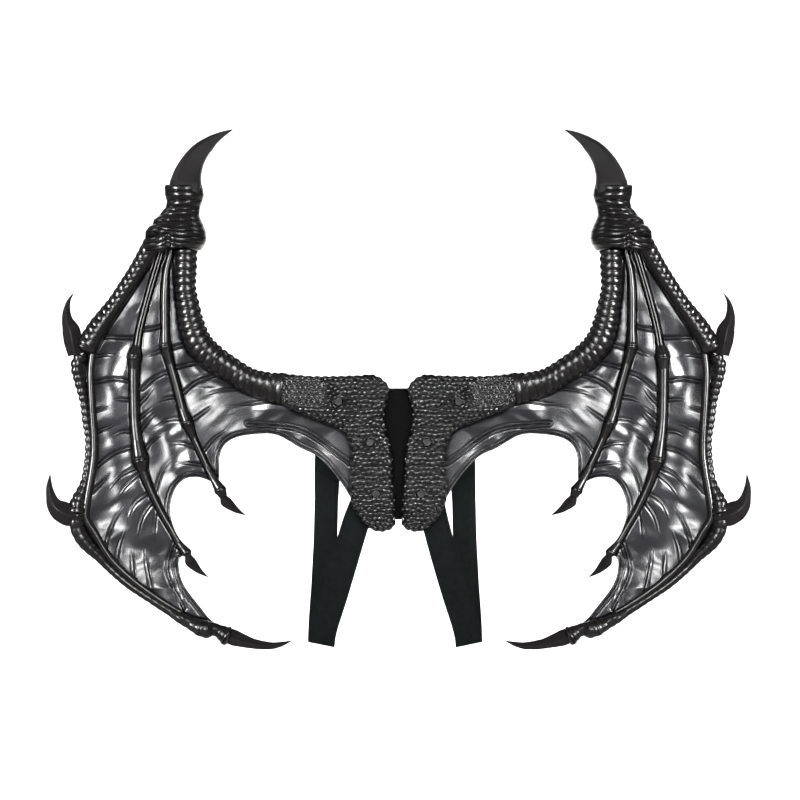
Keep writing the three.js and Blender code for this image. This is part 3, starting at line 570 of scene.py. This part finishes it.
# Knuckle: at share v of the way down, x runs from its outer to its inner edge with u from -1 to 1.
# It stands thick * width * (1 - |u| ^ 2.3) ^ 0.5, plus a fold 1 - |2t - 1| ^ 2.6 between furrows,
# t being the share of the way between two of them. The lower folds rise in a peak at the notch.
def knuckleShape():
    rows = np.array(knuckle["rows"])[::-1]
    furrows = np.array(knuckle["furrows"])[::-1]
    u = np.linspace(-1, 1, 120)[None, :]
    v = np.linspace(0, 1, 190)[:, None]
    foot = 0.3895 + 0.0065 * bump(u, 0.30, 0.35) + 0 * v
    up = rows[-1, 0] + (foot - rows[-1, 0]) * v
    outer = -np.interp(up, rows[:, 0], rows[:, 1]) * wing["reach"]
    inner = -np.interp(up, rows[:, 0], rows[:, 2]) * wing["reach"]
    x = (outer + inner) / 2 + u * (inner - outer) / 2
    z = up * wing["height"]
    lean = knuckle["notchLift"] * np.exp(-np.abs(x - knuckle["notchX"]) / knuckle["notchBroad"])
    wander = (knuckle["wander"] * softNoise(x, z * 0, 0.016, 1, 71)
              + knuckle["fineWander"] * softNoise(x, z, 0.010, 0.014, 72))
    spreadLeft = knuckle["lobeLift"] * np.clip((knuckle["notchX"] - x) / 0.017, 0, 1)
    lean = lean * smooth(0.436, 0.418, up) + spreadLeft * smooth(0.413, 0.426, up) * smooth(0.470, 0.440, up)
    level = up - lean + wander - 0.0022 * (1 - u ** 2) * smooth(0.50, 0.47, up)
    place = np.interp(level, furrows[:, 0], np.arange(len(furrows)))
    below = np.clip(np.floor(place).astype(int), 0, len(furrows) - 2)
    share = place - below
    sharp = np.where(below == len(furrows) - 2, 9.0, 2.6)
    fold = furrows[below + 1, 1] * (1 - np.abs(2 * share - 1) ** sharp)
    roundness = np.sqrt(np.clip(1 - np.abs(u) ** 2.3, 0, 1))
    stand = knuckle["thick"] * (inner - outer) * roundness
    dent = knuckle["dent"] * np.exp(-((x - knuckle["notchX"]) / 0.0035) ** 2) * smooth(0.4285, 0.417, up)
    stand = stand + (0.72 * fold - dent) * (0.35 + 0.65 * roundness)
    stand = stand + knuckle["grain"] * softNoise(x, z, 0.005, 0.004, 73)
    toFoot = np.minimum(up - foot, rows[-1, 0] - up) * wing["height"]
    ends = np.sqrt(np.clip(1 - (1 - np.clip(toFoot / 0.0016, 0, 1)) ** 2, 0, 1))
    stand = knuckle["lip"] + stand * (0.82 + 0.18 * ends)
    back = sheetFront(x) - wing["gap"]
    # painted shade in the furrows between folds, stronger on the lower folds
    paintedShade = bump(np.minimum(share, 1 - share), 0, 0.13) * smooth(0.0, 0.0016, toFoot)
    return shellShape(np.stack([x, back - stand, z], -1), np.stack([x, back + 0 * stand, z], -1),
                      {"paintedShade": (0.55 + 0.35 * smooth(0.44, 0.42, up)) * paintedShade})


bothSides("knuckle", knuckleShape(), made["bone latex"], ["knuckle"], 70)
print("knuckle folded")

# Sheet

sheet = {
    "thick": 0.0020, "bow": 0.0056, "spacing": 0.00082,
    "veinHalf": 0.0011, "veinStand": 0.0014, "grooveDeep": 0.0010, "boneGroove": 0.0013,
    "rimHalf": 0.0010, "rimStand": 0.0011, "secondRim": 0.0042,
    "pucker": 0.0018, "finePucker": 0.0006, "pleat": 0.0009, "pleats": 34, "cord": 0.0020,
    # shadow: width of the groove and the painted shade beside each bone; rootShadow: width of the painted
    # shadow along the root plate's edge
    "shadow": 0.0013, "rootShadow": 0.0034,
}

rootEdge = [(0.338, 0.126), (0.307, 0.085), (0.218, 0.060), (0.160, 0.042), (0.140, 0.018), (0.137, -0.090)]

scallops = {
    "inner": [(0.133, -0.090), (0.153, -0.067), (0.191, -0.032), (0.232, -0.005), (0.281, 0.011),
              (0.349, 0.036), (0.400, 0.038), (0.469, 0.030), (0.498, 0.016), (0.511, -0.007),
              (0.512, -0.037), (0.514, -0.062)],
    "middle": [(0.522, -0.058), (0.566, -0.046), (0.606, -0.047), (0.633, -0.062), (0.650, -0.092),
               (0.650, -0.122), (0.634, -0.153), (0.606, -0.186)],
    "outer": [(0.610, -0.192), (0.626, -0.203), (0.626, -0.226), (0.613, -0.252), (0.566, -0.295),
              (0.538, -0.318), (0.494, -0.340)],
}

# Veins: out and up of the root, the middle and the end, then 1 for one that crosses at full width
# and 2 for a double cord
veins = {
    "outer": [
        (0.837, 0.224, 0.795, 0.223, 0.755, 0.223, 1), (0.863, 0.188, 0.837, 0.189, 0.815, 0.189, 0),
        (0.866, 0.138, 0.817, 0.144, 0.766, 0.140, 1), (0.766, 0.104, 0.792, 0.105, 0.817, 0.106, 0),
        (0.863, 0.083, 0.843, 0.087, 0.823, 0.091, 0), (0.860, 0.043, 0.832, 0.050, 0.800, 0.059, 0),
        (0.760, 0.044, 0.789, 0.042, 0.817, 0.032, 0), (0.857, -0.022, 0.809, 0.002, 0.758, 0.013, 1),
        (0.872, -0.072, 0.843, -0.053, 0.817, -0.031, 0), (0.749, -0.026, 0.792, -0.042, 0.826, -0.069, 0),
        (0.738, -0.037, 0.775, -0.060, 0.806, -0.090, 0), (0.715, -0.075, 0.753, -0.095, 0.776, -0.131, 0),
        (0.703, -0.092, 0.732, -0.122, 0.746, -0.159, 0), (0.692, -0.107, 0.697, -0.137, 0.699, -0.172, 0),
        (0.837, -0.181, 0.817, -0.135, 0.782, -0.096, 0), (0.806, -0.208, 0.797, -0.177, 0.780, -0.144, 0),
        (0.755, -0.240, 0.760, -0.208, 0.762, -0.179, 0), (0.703, -0.269, 0.718, -0.219, 0.729, -0.175, 0),
        (0.643, -0.170, 0.661, -0.223, 0.612, -0.298, 1), (0.639, -0.181, 0.650, -0.202, 0.653, -0.220, 0),
    ],
    "middle": [
        (0.672, 0.247, 0.700, 0.241, 0.723, 0.239, 1), (0.675, 0.200, 0.695, 0.193, 0.715, 0.187, 0),
        (0.656, 0.158, 0.695, 0.146, 0.732, 0.125, 1), (0.640, 0.109, 0.666, 0.106, 0.692, 0.098, 0),
        (0.743, 0.094, 0.720, 0.109, 0.700, 0.127, 0), (0.740, 0.069, 0.720, 0.078, 0.700, 0.090, 0),
        (0.739, 0.043, 0.716, 0.062, 0.690, 0.081, 0), (0.621, 0.068, 0.660, 0.065, 0.698, 0.051, 0),
        (0.726, 0.005, 0.705, 0.023, 0.675, 0.037, 0), (0.581, 0.013, 0.618, 0.020, 0.658, 0.018, 0),
        (0.564, -0.021, 0.603, -0.018, 0.643, -0.017, 0), (0.695, -0.074, 0.678, -0.037, 0.649, -0.010, 0),
    ],
    "inner": [
        (0.646, 0.204, 0.629, 0.207, 0.613, 0.210, 1), (0.643, 0.164, 0.609, 0.171, 0.574, 0.176, 1),
        (0.620, 0.114, 0.578, 0.139, 0.520, 0.152, 1), (0.455, 0.126, 0.504, 0.122, 0.550, 0.113, 0),
        (0.363, 0.103, 0.432, 0.096, 0.500, 0.089, 0), (0.588, 0.065, 0.561, 0.079, 0.530, 0.094, 0),
        (0.561, 0.002, 0.529, 0.028, 0.488, 0.050, 0), (0.432, 0.058, 0.281, 0.046, 0.138, -0.018, 2),
    ],
}


def rowsOf(name, first=0, last=None):
    return [row[:2] for row in bones[name]["rows"][first:last]]


def lineOf(rows, spacing=0.002):
    return curveThrough(places(rows), spacing)[0]


outerRows = rowsOf("outer_finger_upper") + rowsOf("outer_finger_lower") + rowsOf("tail_bone", 1)
innerRows = rowsOf("arm", 0, -1) + rootEdge
sheetLines = [outerRows, rowsOf("mid_finger"), rowsOf("inner_finger"), innerRows]

panels = {
    "outer": [lineOf(rowsOf("mid_finger", 0, -1)), lineOf(scallops["outer"]),
              lineOf(rowsOf("tail_bone", 0, -1)[::-1]), lineOf(rowsOf("outer_finger_lower")[::-1]),
              lineOf(rowsOf("outer_finger_upper")[::-1])],
    "middle": [lineOf(rowsOf("inner_finger", 0, -1)), lineOf(scallops["middle"]),
               lineOf(rowsOf("mid_finger", 0, -1)[::-1])],
    "inner": [lineOf([(0.620, 0.425)] + rowsOf("arm")),
              places([(0.280, 0.128), (0.114, 0.128), (0.114, -0.085)]),
              lineOf(scallops["inner"]), lineOf(rowsOf("inner_finger", 0, -1)[::-1])],
}


# How far across its panel a place lies, 0 and 1 at the bones, and how wide the panel is there
def acrossPanel(flat, panel):
    out, up = -flat[:, 0] / wing["reach"], flat[:, 1] / wing["height"]
    far, near = [np.interp(up, np.array(sheetLines[k])[::-1, 1], np.array(sheetLines[k])[::-1, 0])
                 for k in (panel, panel + 1)]
    width = np.maximum(far - near, 0.004)
    return np.clip((far - out) / width, 0, 1), width * wing["reach"]


# Height of a ridge with a groove on either side, at a distance from its middle line, and the grooves' weight,
# used for the painted shade in them
def ridge(distance, half, stand, deep):
    beside = np.exp(-((distance - 1.75 * half) / (0.8 * half)) ** 2)
    return stand * np.exp(-(distance / half) ** 2) - deep * beside, beside


# How far beyond a bone's edge each place lies
def pastBone(flat, name):
    bone = bones[name]
    route, rowAt, _ = curveThrough(places(bone["rows"]), 0.002)
    distance, along, _, _ = nearestOn(flat, route)
    return distance - bone["width"] / 2 * np.interp(along * (len(route) - 1), np.arange(len(route)),
                                                    column(bone["rows"], 2, rowAt))


# Sheet: y = sheetFront + bow * sin(pi * share) ^ 2 - relief. The relief is veins, a double rim
# along the free edge, a groove beside each bone, pleats that fan out from the knuckle, and soft
# seeded puckers. Shade is painted in the grooves beside veins, rims and bones, and a shadow is
# painted along the root plate's edge.
def panelShape(name, panel):
    flat, cells, walls = cutGrid(np.vstack(panels[name]), sheet["spacing"])
    share, width = acrossPanel(flat, panel)
    free = np.sin(np.pi * share)
    sag = sheet["bow"] * np.minimum(1, width / 0.06) ** 2 * free ** 2
    x, z = flat.T
    pucker = (sheet["pucker"] * softNoise(x + z, z - x, 0.034, 0.032, 21 + panel)
              + sheet["finePucker"] * softNoise(x - z, z, 0.014, 0.013, 31 + panel))
    pucker = pucker * np.minimum(1, width / 0.045)
    root = places([(0.640, 0.405)])[0]
    angle = np.arctan2(x - root[0], root[1] - z)
    reachOut = np.hypot(x - root[0], z - root[1])
    sway = 2 * softNoise(x, z, 0.05, 0.05, 51)
    pleat = sheet["pleat"] * np.cos(sheet["pleats"] * angle + sway) * smooth(0.055, 0.01, reachOut)
    relief = (pucker + pleat) * np.minimum(1, free * 1.6)
    paintedShade = np.zeros(len(flat))
    for vein in veins[name]:
        line = lineOf([vein[0:2], vein[2:4], vein[4:6]], 0.003)
        near = np.all((flat > line.min(0) - 0.008) & (flat < line.max(0) + 0.008), axis=1)
        distance, along, _, _ = nearestOn(flat[near], line)
        fade = np.ones(near.sum()) if vein[6] else 1 - along ** 1.5
        if vein[6] == 2:
            distance = np.abs(distance - sheet["cord"])
        half = sheet["veinHalf"] * (0.55 + 0.45 * fade) * (0.75 if vein[6] == 2 else 1)
        lift, beside = ridge(distance, half, sheet["veinStand"] * fade, sheet["grooveDeep"] * fade)
        relief[near] += lift
        # painted shade in the vein's grooves
        paintedShade[near] = np.maximum(paintedShade[near], np.minimum(1, 1.6 * fade) * beside)
    rim = lineOf(scallops[name], 0.003)
    distance = nearestOn(flat, rim)[0]
    for place, stand in ((sheet["rimHalf"], 1.0), (sheet["secondRim"], 0.8)):
        lift, beside = ridge(np.abs(distance - place), sheet["rimHalf"] * stand, sheet["rimStand"] * stand,
                             sheet["grooveDeep"])
        relief += lift
        # painted shade in the rim's grooves
        paintedShade = np.maximum(paintedShade, beside)
    for boneName in [name for name in bones if name != "outer_rod"]:
        past = pastBone(flat, boneName)
        beside = np.exp(-(np.maximum(past, 0) / sheet["shadow"]) ** 2)
        relief -= sheet["boneGroove"] * beside
        # painted shade in the gap beside the bone
        paintedShade = np.maximum(paintedShade, beside)
    # painted shadow along the root plate's edge
    paintedShade = np.maximum(paintedShade, bump(nearestOn(flat, lineOf(rootEdge, 0.003))[0], 0, sheet["rootShadow"]))
    front = sheetFront(x) + sag - relief
    back = front + sheet["thick"] + 0.4 * relief
    return slabShape(flat, cells, walls, front, back, {"paintedShade": 0.95 * paintedShade})


for index, panelName in enumerate(("outer", "middle", "inner")):
    shape = panelShape(panelName, index)
    print(panelName, "panel has", 2 * len(shape["quads"]), "triangles")
    bothSides(f"membrane_{panelName}", shape, made["sheet skin"], ["membrane"])
print("sheet stretched")

# Root plate

basePlate = {
    "thick": 0.0115, "back": -0.0053, "rounding": 0.011, "spacing": 0.00058, "swell": 0.0040,
    "scale": 0.0060, "dome": 0.0027, "outlineBump": 0.0012, "outlineWave": 0.0088, "seed": 7,
    "ripple": 0.0006, "flute": 0.0008, "flutes": 15, "fluteRing": 0.0085,
    "rows": [(0.334, 0.156), (0.253, 0.150), (0.121, 0.151), (0.070, 0.152), (0.041, 0.141), (0.024, 0.122),
             (0.031, 0.101), (0.038, 0.072), (0.030, 0.041), (0.017, 0.007), (0.015, -0.051), (0.008, -0.108),
             (0.013, -0.140), (0.047, -0.150), (0.090, -0.141), (0.119, -0.117), (0.137, -0.087),
             (0.138, -0.022), (0.140, 0.018), (0.160, 0.042), (0.218, 0.060), (0.307, 0.085), (0.334, 0.095)],
}
rivetPlaces = [(0.172, 0.100), (0.082, 0.022), (0.064, -0.077)]


# Root plate: a cushion thick * (0.3 + 0.7 * rounded edge) with a dome over each scale. Scales are
# the cells nearest to the points of a jittered hexagon lattice, and a dome falls off as
# (1 - (away / radius) ^ 2) ^ 0.5. Towards the arm the domes turn into beads inside raised cell walls.
def basePlateShape():
    outline, _, length = curveThrough(places(basePlate["rows"]), 0.001)
    away = np.gradient(outline, axis=0)
    away = np.stack([-away[:, 1], away[:, 0]], 1) / np.linalg.norm(away, axis=1, keepdims=True)
    waves = np.abs(np.sin(np.pi * length / basePlate["outlineWave"])) - 0.6
    outline = outline + away * (basePlate["outlineBump"] * waves)[:, None]
    flat, cells, walls = cutGrid(outline, basePlate["spacing"])
    x, z = flat.T
    inset = nearestOn(flat, outline[::2])[0]
    rng = np.random.default_rng(basePlate["seed"])
    size = basePlate["scale"]
    low, high = flat.min(0) - size, flat.max(0) + size
    gx, gz = np.meshgrid(np.arange(low[0], high[0], size), np.arange(low[1], high[1], size * 0.866))
    gx = gx + (np.arange(gx.shape[0]) % 2)[:, None] * size / 2
    seeds = np.stack([gx.ravel(), gz.ravel()], 1)
    wild = smooth(-0.095, -0.075, seeds[:, 0])[:, None]
    seeds += rng.uniform(-0.5, 0.5, seeds.shape) * size * (0.10 + 0.42 * wild)
    distance = np.hypot(x[:, None] - seeds[None, :, 0], z[:, None] - seeds[None, :, 1])
    nearest = np.partition(distance, 1, axis=1)[:, :2]
    order = distance.argmin(1)
    first, gap = nearest.min(1), nearest.max(1) - nearest.min(1)
    lift = rng.uniform(0.65, 1.25, len(seeds))[order]
    dome = lift * np.sqrt(np.clip(1 - (first / (0.52 * size)) ** 2, 0, 1)) * (1 - np.exp(-gap / 0.0007))
    walled = 0.75 * np.exp(-(gap / 0.0008) ** 2) + 0.9 * np.exp(-(first / 0.0011) ** 2)
    honey = smooth(-0.078, -0.090, x) * smooth(0.048, 0.056, z)
    # painted shade in the gaps between scales, and beside the cell walls
    paintedShade = (1 - honey) * np.exp(-(gap / 0.0013) ** 2) + honey * bump(gap, 0.0021, 0.0007)
    dome = basePlate["dome"] * ((1 - honey) * dome + honey * walled)
    edge = np.clip(inset / basePlate["rounding"], 0, 1)
    rounded = np.sqrt(1 - (1 - edge) ** 2)
    body = (basePlate["thick"] - basePlate["dome"]) * (0.3 + 0.7 * rounded)
    body = body + basePlate["swell"] * smooth(-0.100, -0.126, x) * rounded
    ripple = basePlate["ripple"] * softNoise(x, z, 0.024, 0.024, 61) * edge
    front = basePlate["back"] - body - dome * (0.5 + 0.5 * edge) - ripple
    for index, place in enumerate(places(rivetPlaces)):
        fromRivet = np.hypot(x - place[0], z - place[1])
        if index == 0:
            around = np.arctan2(z - place[1], x - place[0])
            flutes = bump(fromRivet, basePlate["fluteRing"], 0.0028)
            front = front - basePlate["flute"] * np.cos(basePlate["flutes"] * around) * flutes
        level = basePlate["back"] - basePlate["thick"] + 0.0012
        front = front + (level - front) * smooth(0.0062, 0.0044, fromRivet)
        # painted shade in a ring round each rivet head, none under it
        paintedShade = np.maximum(paintedShade * smooth(0.0040, 0.0050, fromRivet), bump(fromRivet, 0.0048, 0.0010))
    back = np.full(len(flat), basePlate["back"])
    return slabShape(flat, cells, walls, front, back, {"paintedShade": 0.95 * paintedShade})


bothSides("base_plate", basePlateShape(), made["scale latex"], ["base_plate"])
print("root plates scaled")

# Rivets

rivet = {"head": 0.0040, "rise": 0.0016, "shank": 0.0018, "front": -0.0176, "tail": -0.0003, "sides": 40}


# Rivet: a profile of radius and depth turned about an axis along Y
def rivetShape(place):
    head, rise, front = rivet["head"], rivet["rise"], rivet["front"]
    turn = np.radians(np.linspace(0, 90, 7))
    corner = 0.0007
    lip = [(head - corner + corner * math.sin(a), front - rise + corner * (1 - math.cos(a))) for a in turn]
    profile = np.array([(0.00002, front - rise + 0.0003), (head * 0.55, front - rise + 0.00022),
                        (head * 0.72, front - rise)] + lip +
                       [(head, front), (rivet["shank"], front), (rivet["shank"], rivet["tail"]),
                        (0.00002, rivet["tail"])])
    angle = np.linspace(0, 2 * np.pi, rivet["sides"], endpoint=False)
    x = place[0] + profile[:, 0:1] * np.cos(angle)
    z = place[1] + profile[:, 0:1] * np.sin(angle)
    return tubeShape(np.stack([x, profile[:, 1:2] + 0 * x, z], -1))


for index, place in enumerate(places(rivetPlaces)):
    rivetName = f"rivet_{index + 1}"
    bothSides(rivetName, rivetShape(place), made["painted rivet"], [rivetName], 35)

# The centre plate keeps its solid, in a better finish
plateSolid = bpy.data.objects["centre_plate"]
plateSolid.data.materials.clear()
plateSolid.data.materials.append(made["plate polypropylene"])
print("rivets set")

# Shoulder loops

strap = {"width": 0.030, "thick": 0.0018, "spread": 0.034, "seat": -0.0012, "shift": 0.0075,
         "rib": 0.0015, "ribDeep": 0.00016}

# Rows are out, up, back, tilt, turn and free, as in the solid
strapRows = [
    (0.190, 0.128, 0.00, 0, 0, 0), (0.191, 0.093, 0.03, 0, 0, 0), (0.194, 0.066, 0.10, 0, 0, 0.2),
    (0.197, 0.036, 0.28, 0, -4, 0.5), (0.203, -0.012, 0.58, 2, -14, 1), (0.207, -0.089, 0.92, 3, -28, 1),
    (0.210, -0.166, 1.00, 4, -28, 1), (0.215, -0.261, 0.80, 7, -20, 1), (0.219, -0.318, 0.55, 10, -8, 1),
    (0.221, -0.352, 0.44, 11, -2, 1), (0.221, -0.367, 0.27, 12, 0, 1), (0.219, -0.354, 0.12, 12, 0, 1),
    (0.211, -0.330, 0.07, 13, 0, 1), (0.184, -0.273, 0.06, 16, 0, 1), (0.150, -0.196, 0.03, 16, 0, 1),
    (0.119, -0.127, 0.00, 17, 0, 0.8), (0.086, -0.070, 0.00, 14, 0, 0), (0.072, -0.012, 0.00, 8, 0, 0),
    (0.069, 0.037, 0.00, 3, 0, 0),
]


# Loop: a flat section, across = (cos tilt * cos turn, sin turn, -sin tilt) squared up to the route,
# with ribs ribDeep * cos(2 pi * across / rib) along both faces
def strapShape(shift):
    rows = np.array(strapRows)
    flat = places(rows[:, :2])
    depth = strap["seat"] + rows[:, 2] * strap["spread"]
    middle = np.stack([flat[:, 0] + shift * rows[:, 5], depth, flat[:, 1]], 1)
    route, rowAt, length = curveThrough(middle, 0.0025)
    tilt, turn = np.radians(column(rows, 3, rowAt)), np.radians(column(rows, 4, rowAt))
    along = np.gradient(route, axis=0)
    along /= np.linalg.norm(along, axis=1, keepdims=True)
    across = np.stack([np.cos(tilt) * np.cos(turn), np.sin(turn), -np.sin(tilt)], 1)
    across -= (across * along).sum(1, keepdims=True) * along
    across /= np.linalg.norm(across, axis=1, keepdims=True)
    through = np.cross(along, across)
    q = np.linspace(-1, 1, 81)
    rib = strap["ribDeep"] * np.cos(2 * np.pi * q * strap["width"] / 2 / strap["rib"])
    edge = np.sqrt(np.clip(1 - np.abs(q) ** 24, 0, 1))
    thick = (strap["thick"] / 2 - strap["ribDeep"] + rib) * edge + 0.00012
    section = np.concatenate([q, q[::-1]])
    face = np.concatenate([thick, -thick[::-1]])
    grid = (route[:, None] + across[:, None] * (section * strap["width"] / 2)[None, :, None]
            + through[:, None] * face[None, :, None])
    return tubeShape(grid)


for side, shift in (("left", 0), ("right", strap["shift"])):
    addPiece(f"{side}_strap_skin", strapShape(shift), made["strap elastic"], [f"{side}_strap"],
             side == "right", 60)
print("straps hung")

# Studio

# Each lamp has its place, what it is turned on, its size and, with a honeycomb grid, its spread.
# One beside the middle stands twice, the second time mirrored.
studio = {
    "floor": -0.46, "wall": 1.5, "bend": 0.7, "paper": "#f4f3f1", "wallHalf": 0.8, "wallTop": 1.8,
    "wallFoot": -0.15, "floorHalf": 3.0, "floorDrop": 0.002, "world": 0.11,
    "lens": 300, "camera": (0.00165, -7.365, 0.0594),
    "lamps": {
        # small, above the camera: one sparkle on each scale
        "plate_light": {"place": (0, -1.6, 0.62), "aim": (0, 0, 0.02), "power": 0.13,
                        "size": (0.22, 0.22), "spread": 9},
        # strip boxes, each turned on its own wing
        "softbox": {"place": (1.01, -1.41, 0.25), "aim": (0.35, 0, 0.05), "power": 3.4,
                    "size": (0.5, 1.0), "spread": 26},
        # each turned on the outer half of the other wing
        "cross_light": {"place": (0.45, -1.45, 0.3), "aim": (-0.37, 0, 0.05), "power": 0.45,
                        "size": (0.4, 0.6), "spread": 20},
        # wide and weak, beside the camera
        "panel": {"place": (1.35, -2.1, 0.3), "aim": (0, 0, 0.05), "power": 2.2,
                  "size": (1.5, 1.6), "spread": 180},
        # whitens the paper
        "wall_light": {"place": (1.3, 0.45, 0.9), "aim": (0.4, 1.5, 0.1), "power": 15,
                       "size": (1.4, 0.5), "spread": 110},
    },
}


# Paper: a profile of places (y, z) carried along X
def addPaper(name, profile, half, paper):
    profile = np.array(profile)
    xs = np.linspace(-half, half, 5)
    grid = np.stack(np.broadcast_arrays(xs, profile[:, 0:1], profile[:, 1:2]), -1)
    ids = np.arange(len(profile) * 5).reshape(-1, 5)
    quads = np.stack([ids[:-1, :-1], ids[:-1, 1:], ids[1:, 1:], ids[1:, :-1]], -1).reshape(-1, 4)
    sweep = bpy.data.objects.new(name, meshOf(name, grid.reshape(-1, 3), quads))
    bpy.context.scene.collection.objects.link(sweep)
    sweep.data.materials.append(paper)


# The wall is narrow, so that the back of the wings can be seen past it. The floor is wide.
def layPaper():
    paper = bpy.data.materials.new("matt background paper")
    paper.use_nodes = True
    shader = paper.node_tree.nodes["Principled BSDF"]
    shader.inputs["Base Color"].default_value = fromHex(studio["paper"])
    shader.inputs["Roughness"].default_value = 0.9
    bend, floor, wall = studio["bend"], studio["floor"], studio["wall"]
    turn = np.radians(np.linspace(0, 90, 25))
    curve = [(wall - bend + bend * math.sin(a), floor + bend - bend * math.cos(a)) for a in turn]
    sweep = [(studio["wallFoot"], floor)] + curve + [(wall, studio["wallTop"])]
    addPaper("paper_sweep", sweep, studio["wallHalf"], paper)
    reach, level = studio["floorHalf"], floor - studio["floorDrop"]
    addPaper("paper_floor", [(-reach, level), (0, level), (reach, level)], reach, paper)


def aimAt(thing, target):
    direction = np.array(target, float) - np.array(thing.location)
    flatRun = math.hypot(direction[0], direction[1])
    thing.rotation_euler = (math.pi / 2 + math.atan2(direction[2], flatRun), 0,
                            math.atan2(direction[1], direction[0]) - math.pi / 2)


def addLamp(name, spec, side):
    light = bpy.data.lights.new(name, "AREA")
    light.shape = "RECTANGLE"
    light.size, light.size_y = spec["size"]
    light.energy = spec["power"]
    light.spread = math.radians(spec["spread"])
    lamp = bpy.data.objects.new(name, light)
    lamp.location = np.array(spec["place"]) * (side, 1, 1)
    bpy.context.scene.collection.objects.link(lamp)
    aimAt(lamp, np.array(spec["aim"]) * (side, 1, 1))


layPaper()
for lampName, spec in studio["lamps"].items():
    for side in (-1, 1) if spec["place"][0] else (1,):
        addLamp(f"{lampName}_{side}", spec, side)

world = bpy.data.worlds.new("studio air")
bpy.context.scene.world = world
world.use_nodes = True
world.node_tree.nodes["Background"].inputs["Color"].default_value = fromHex("#ffffff")
world.node_tree.nodes["Background"].inputs["Strength"].default_value = studio["world"]

lens = bpy.data.cameras.new("long_lens")
lens.lens, lens.sensor_width, lens.clip_end = studio["lens"], 36, 60
camera = bpy.data.objects.new("camera", lens)
camera.location = studio["camera"]
camera.rotation_euler = (math.pi / 2, 0, 0)
bpy.context.scene.collection.objects.link(camera)
bpy.context.scene.camera = camera
bpy.context.scene.view_settings.view_transform = "Standard"
print("studio lit")
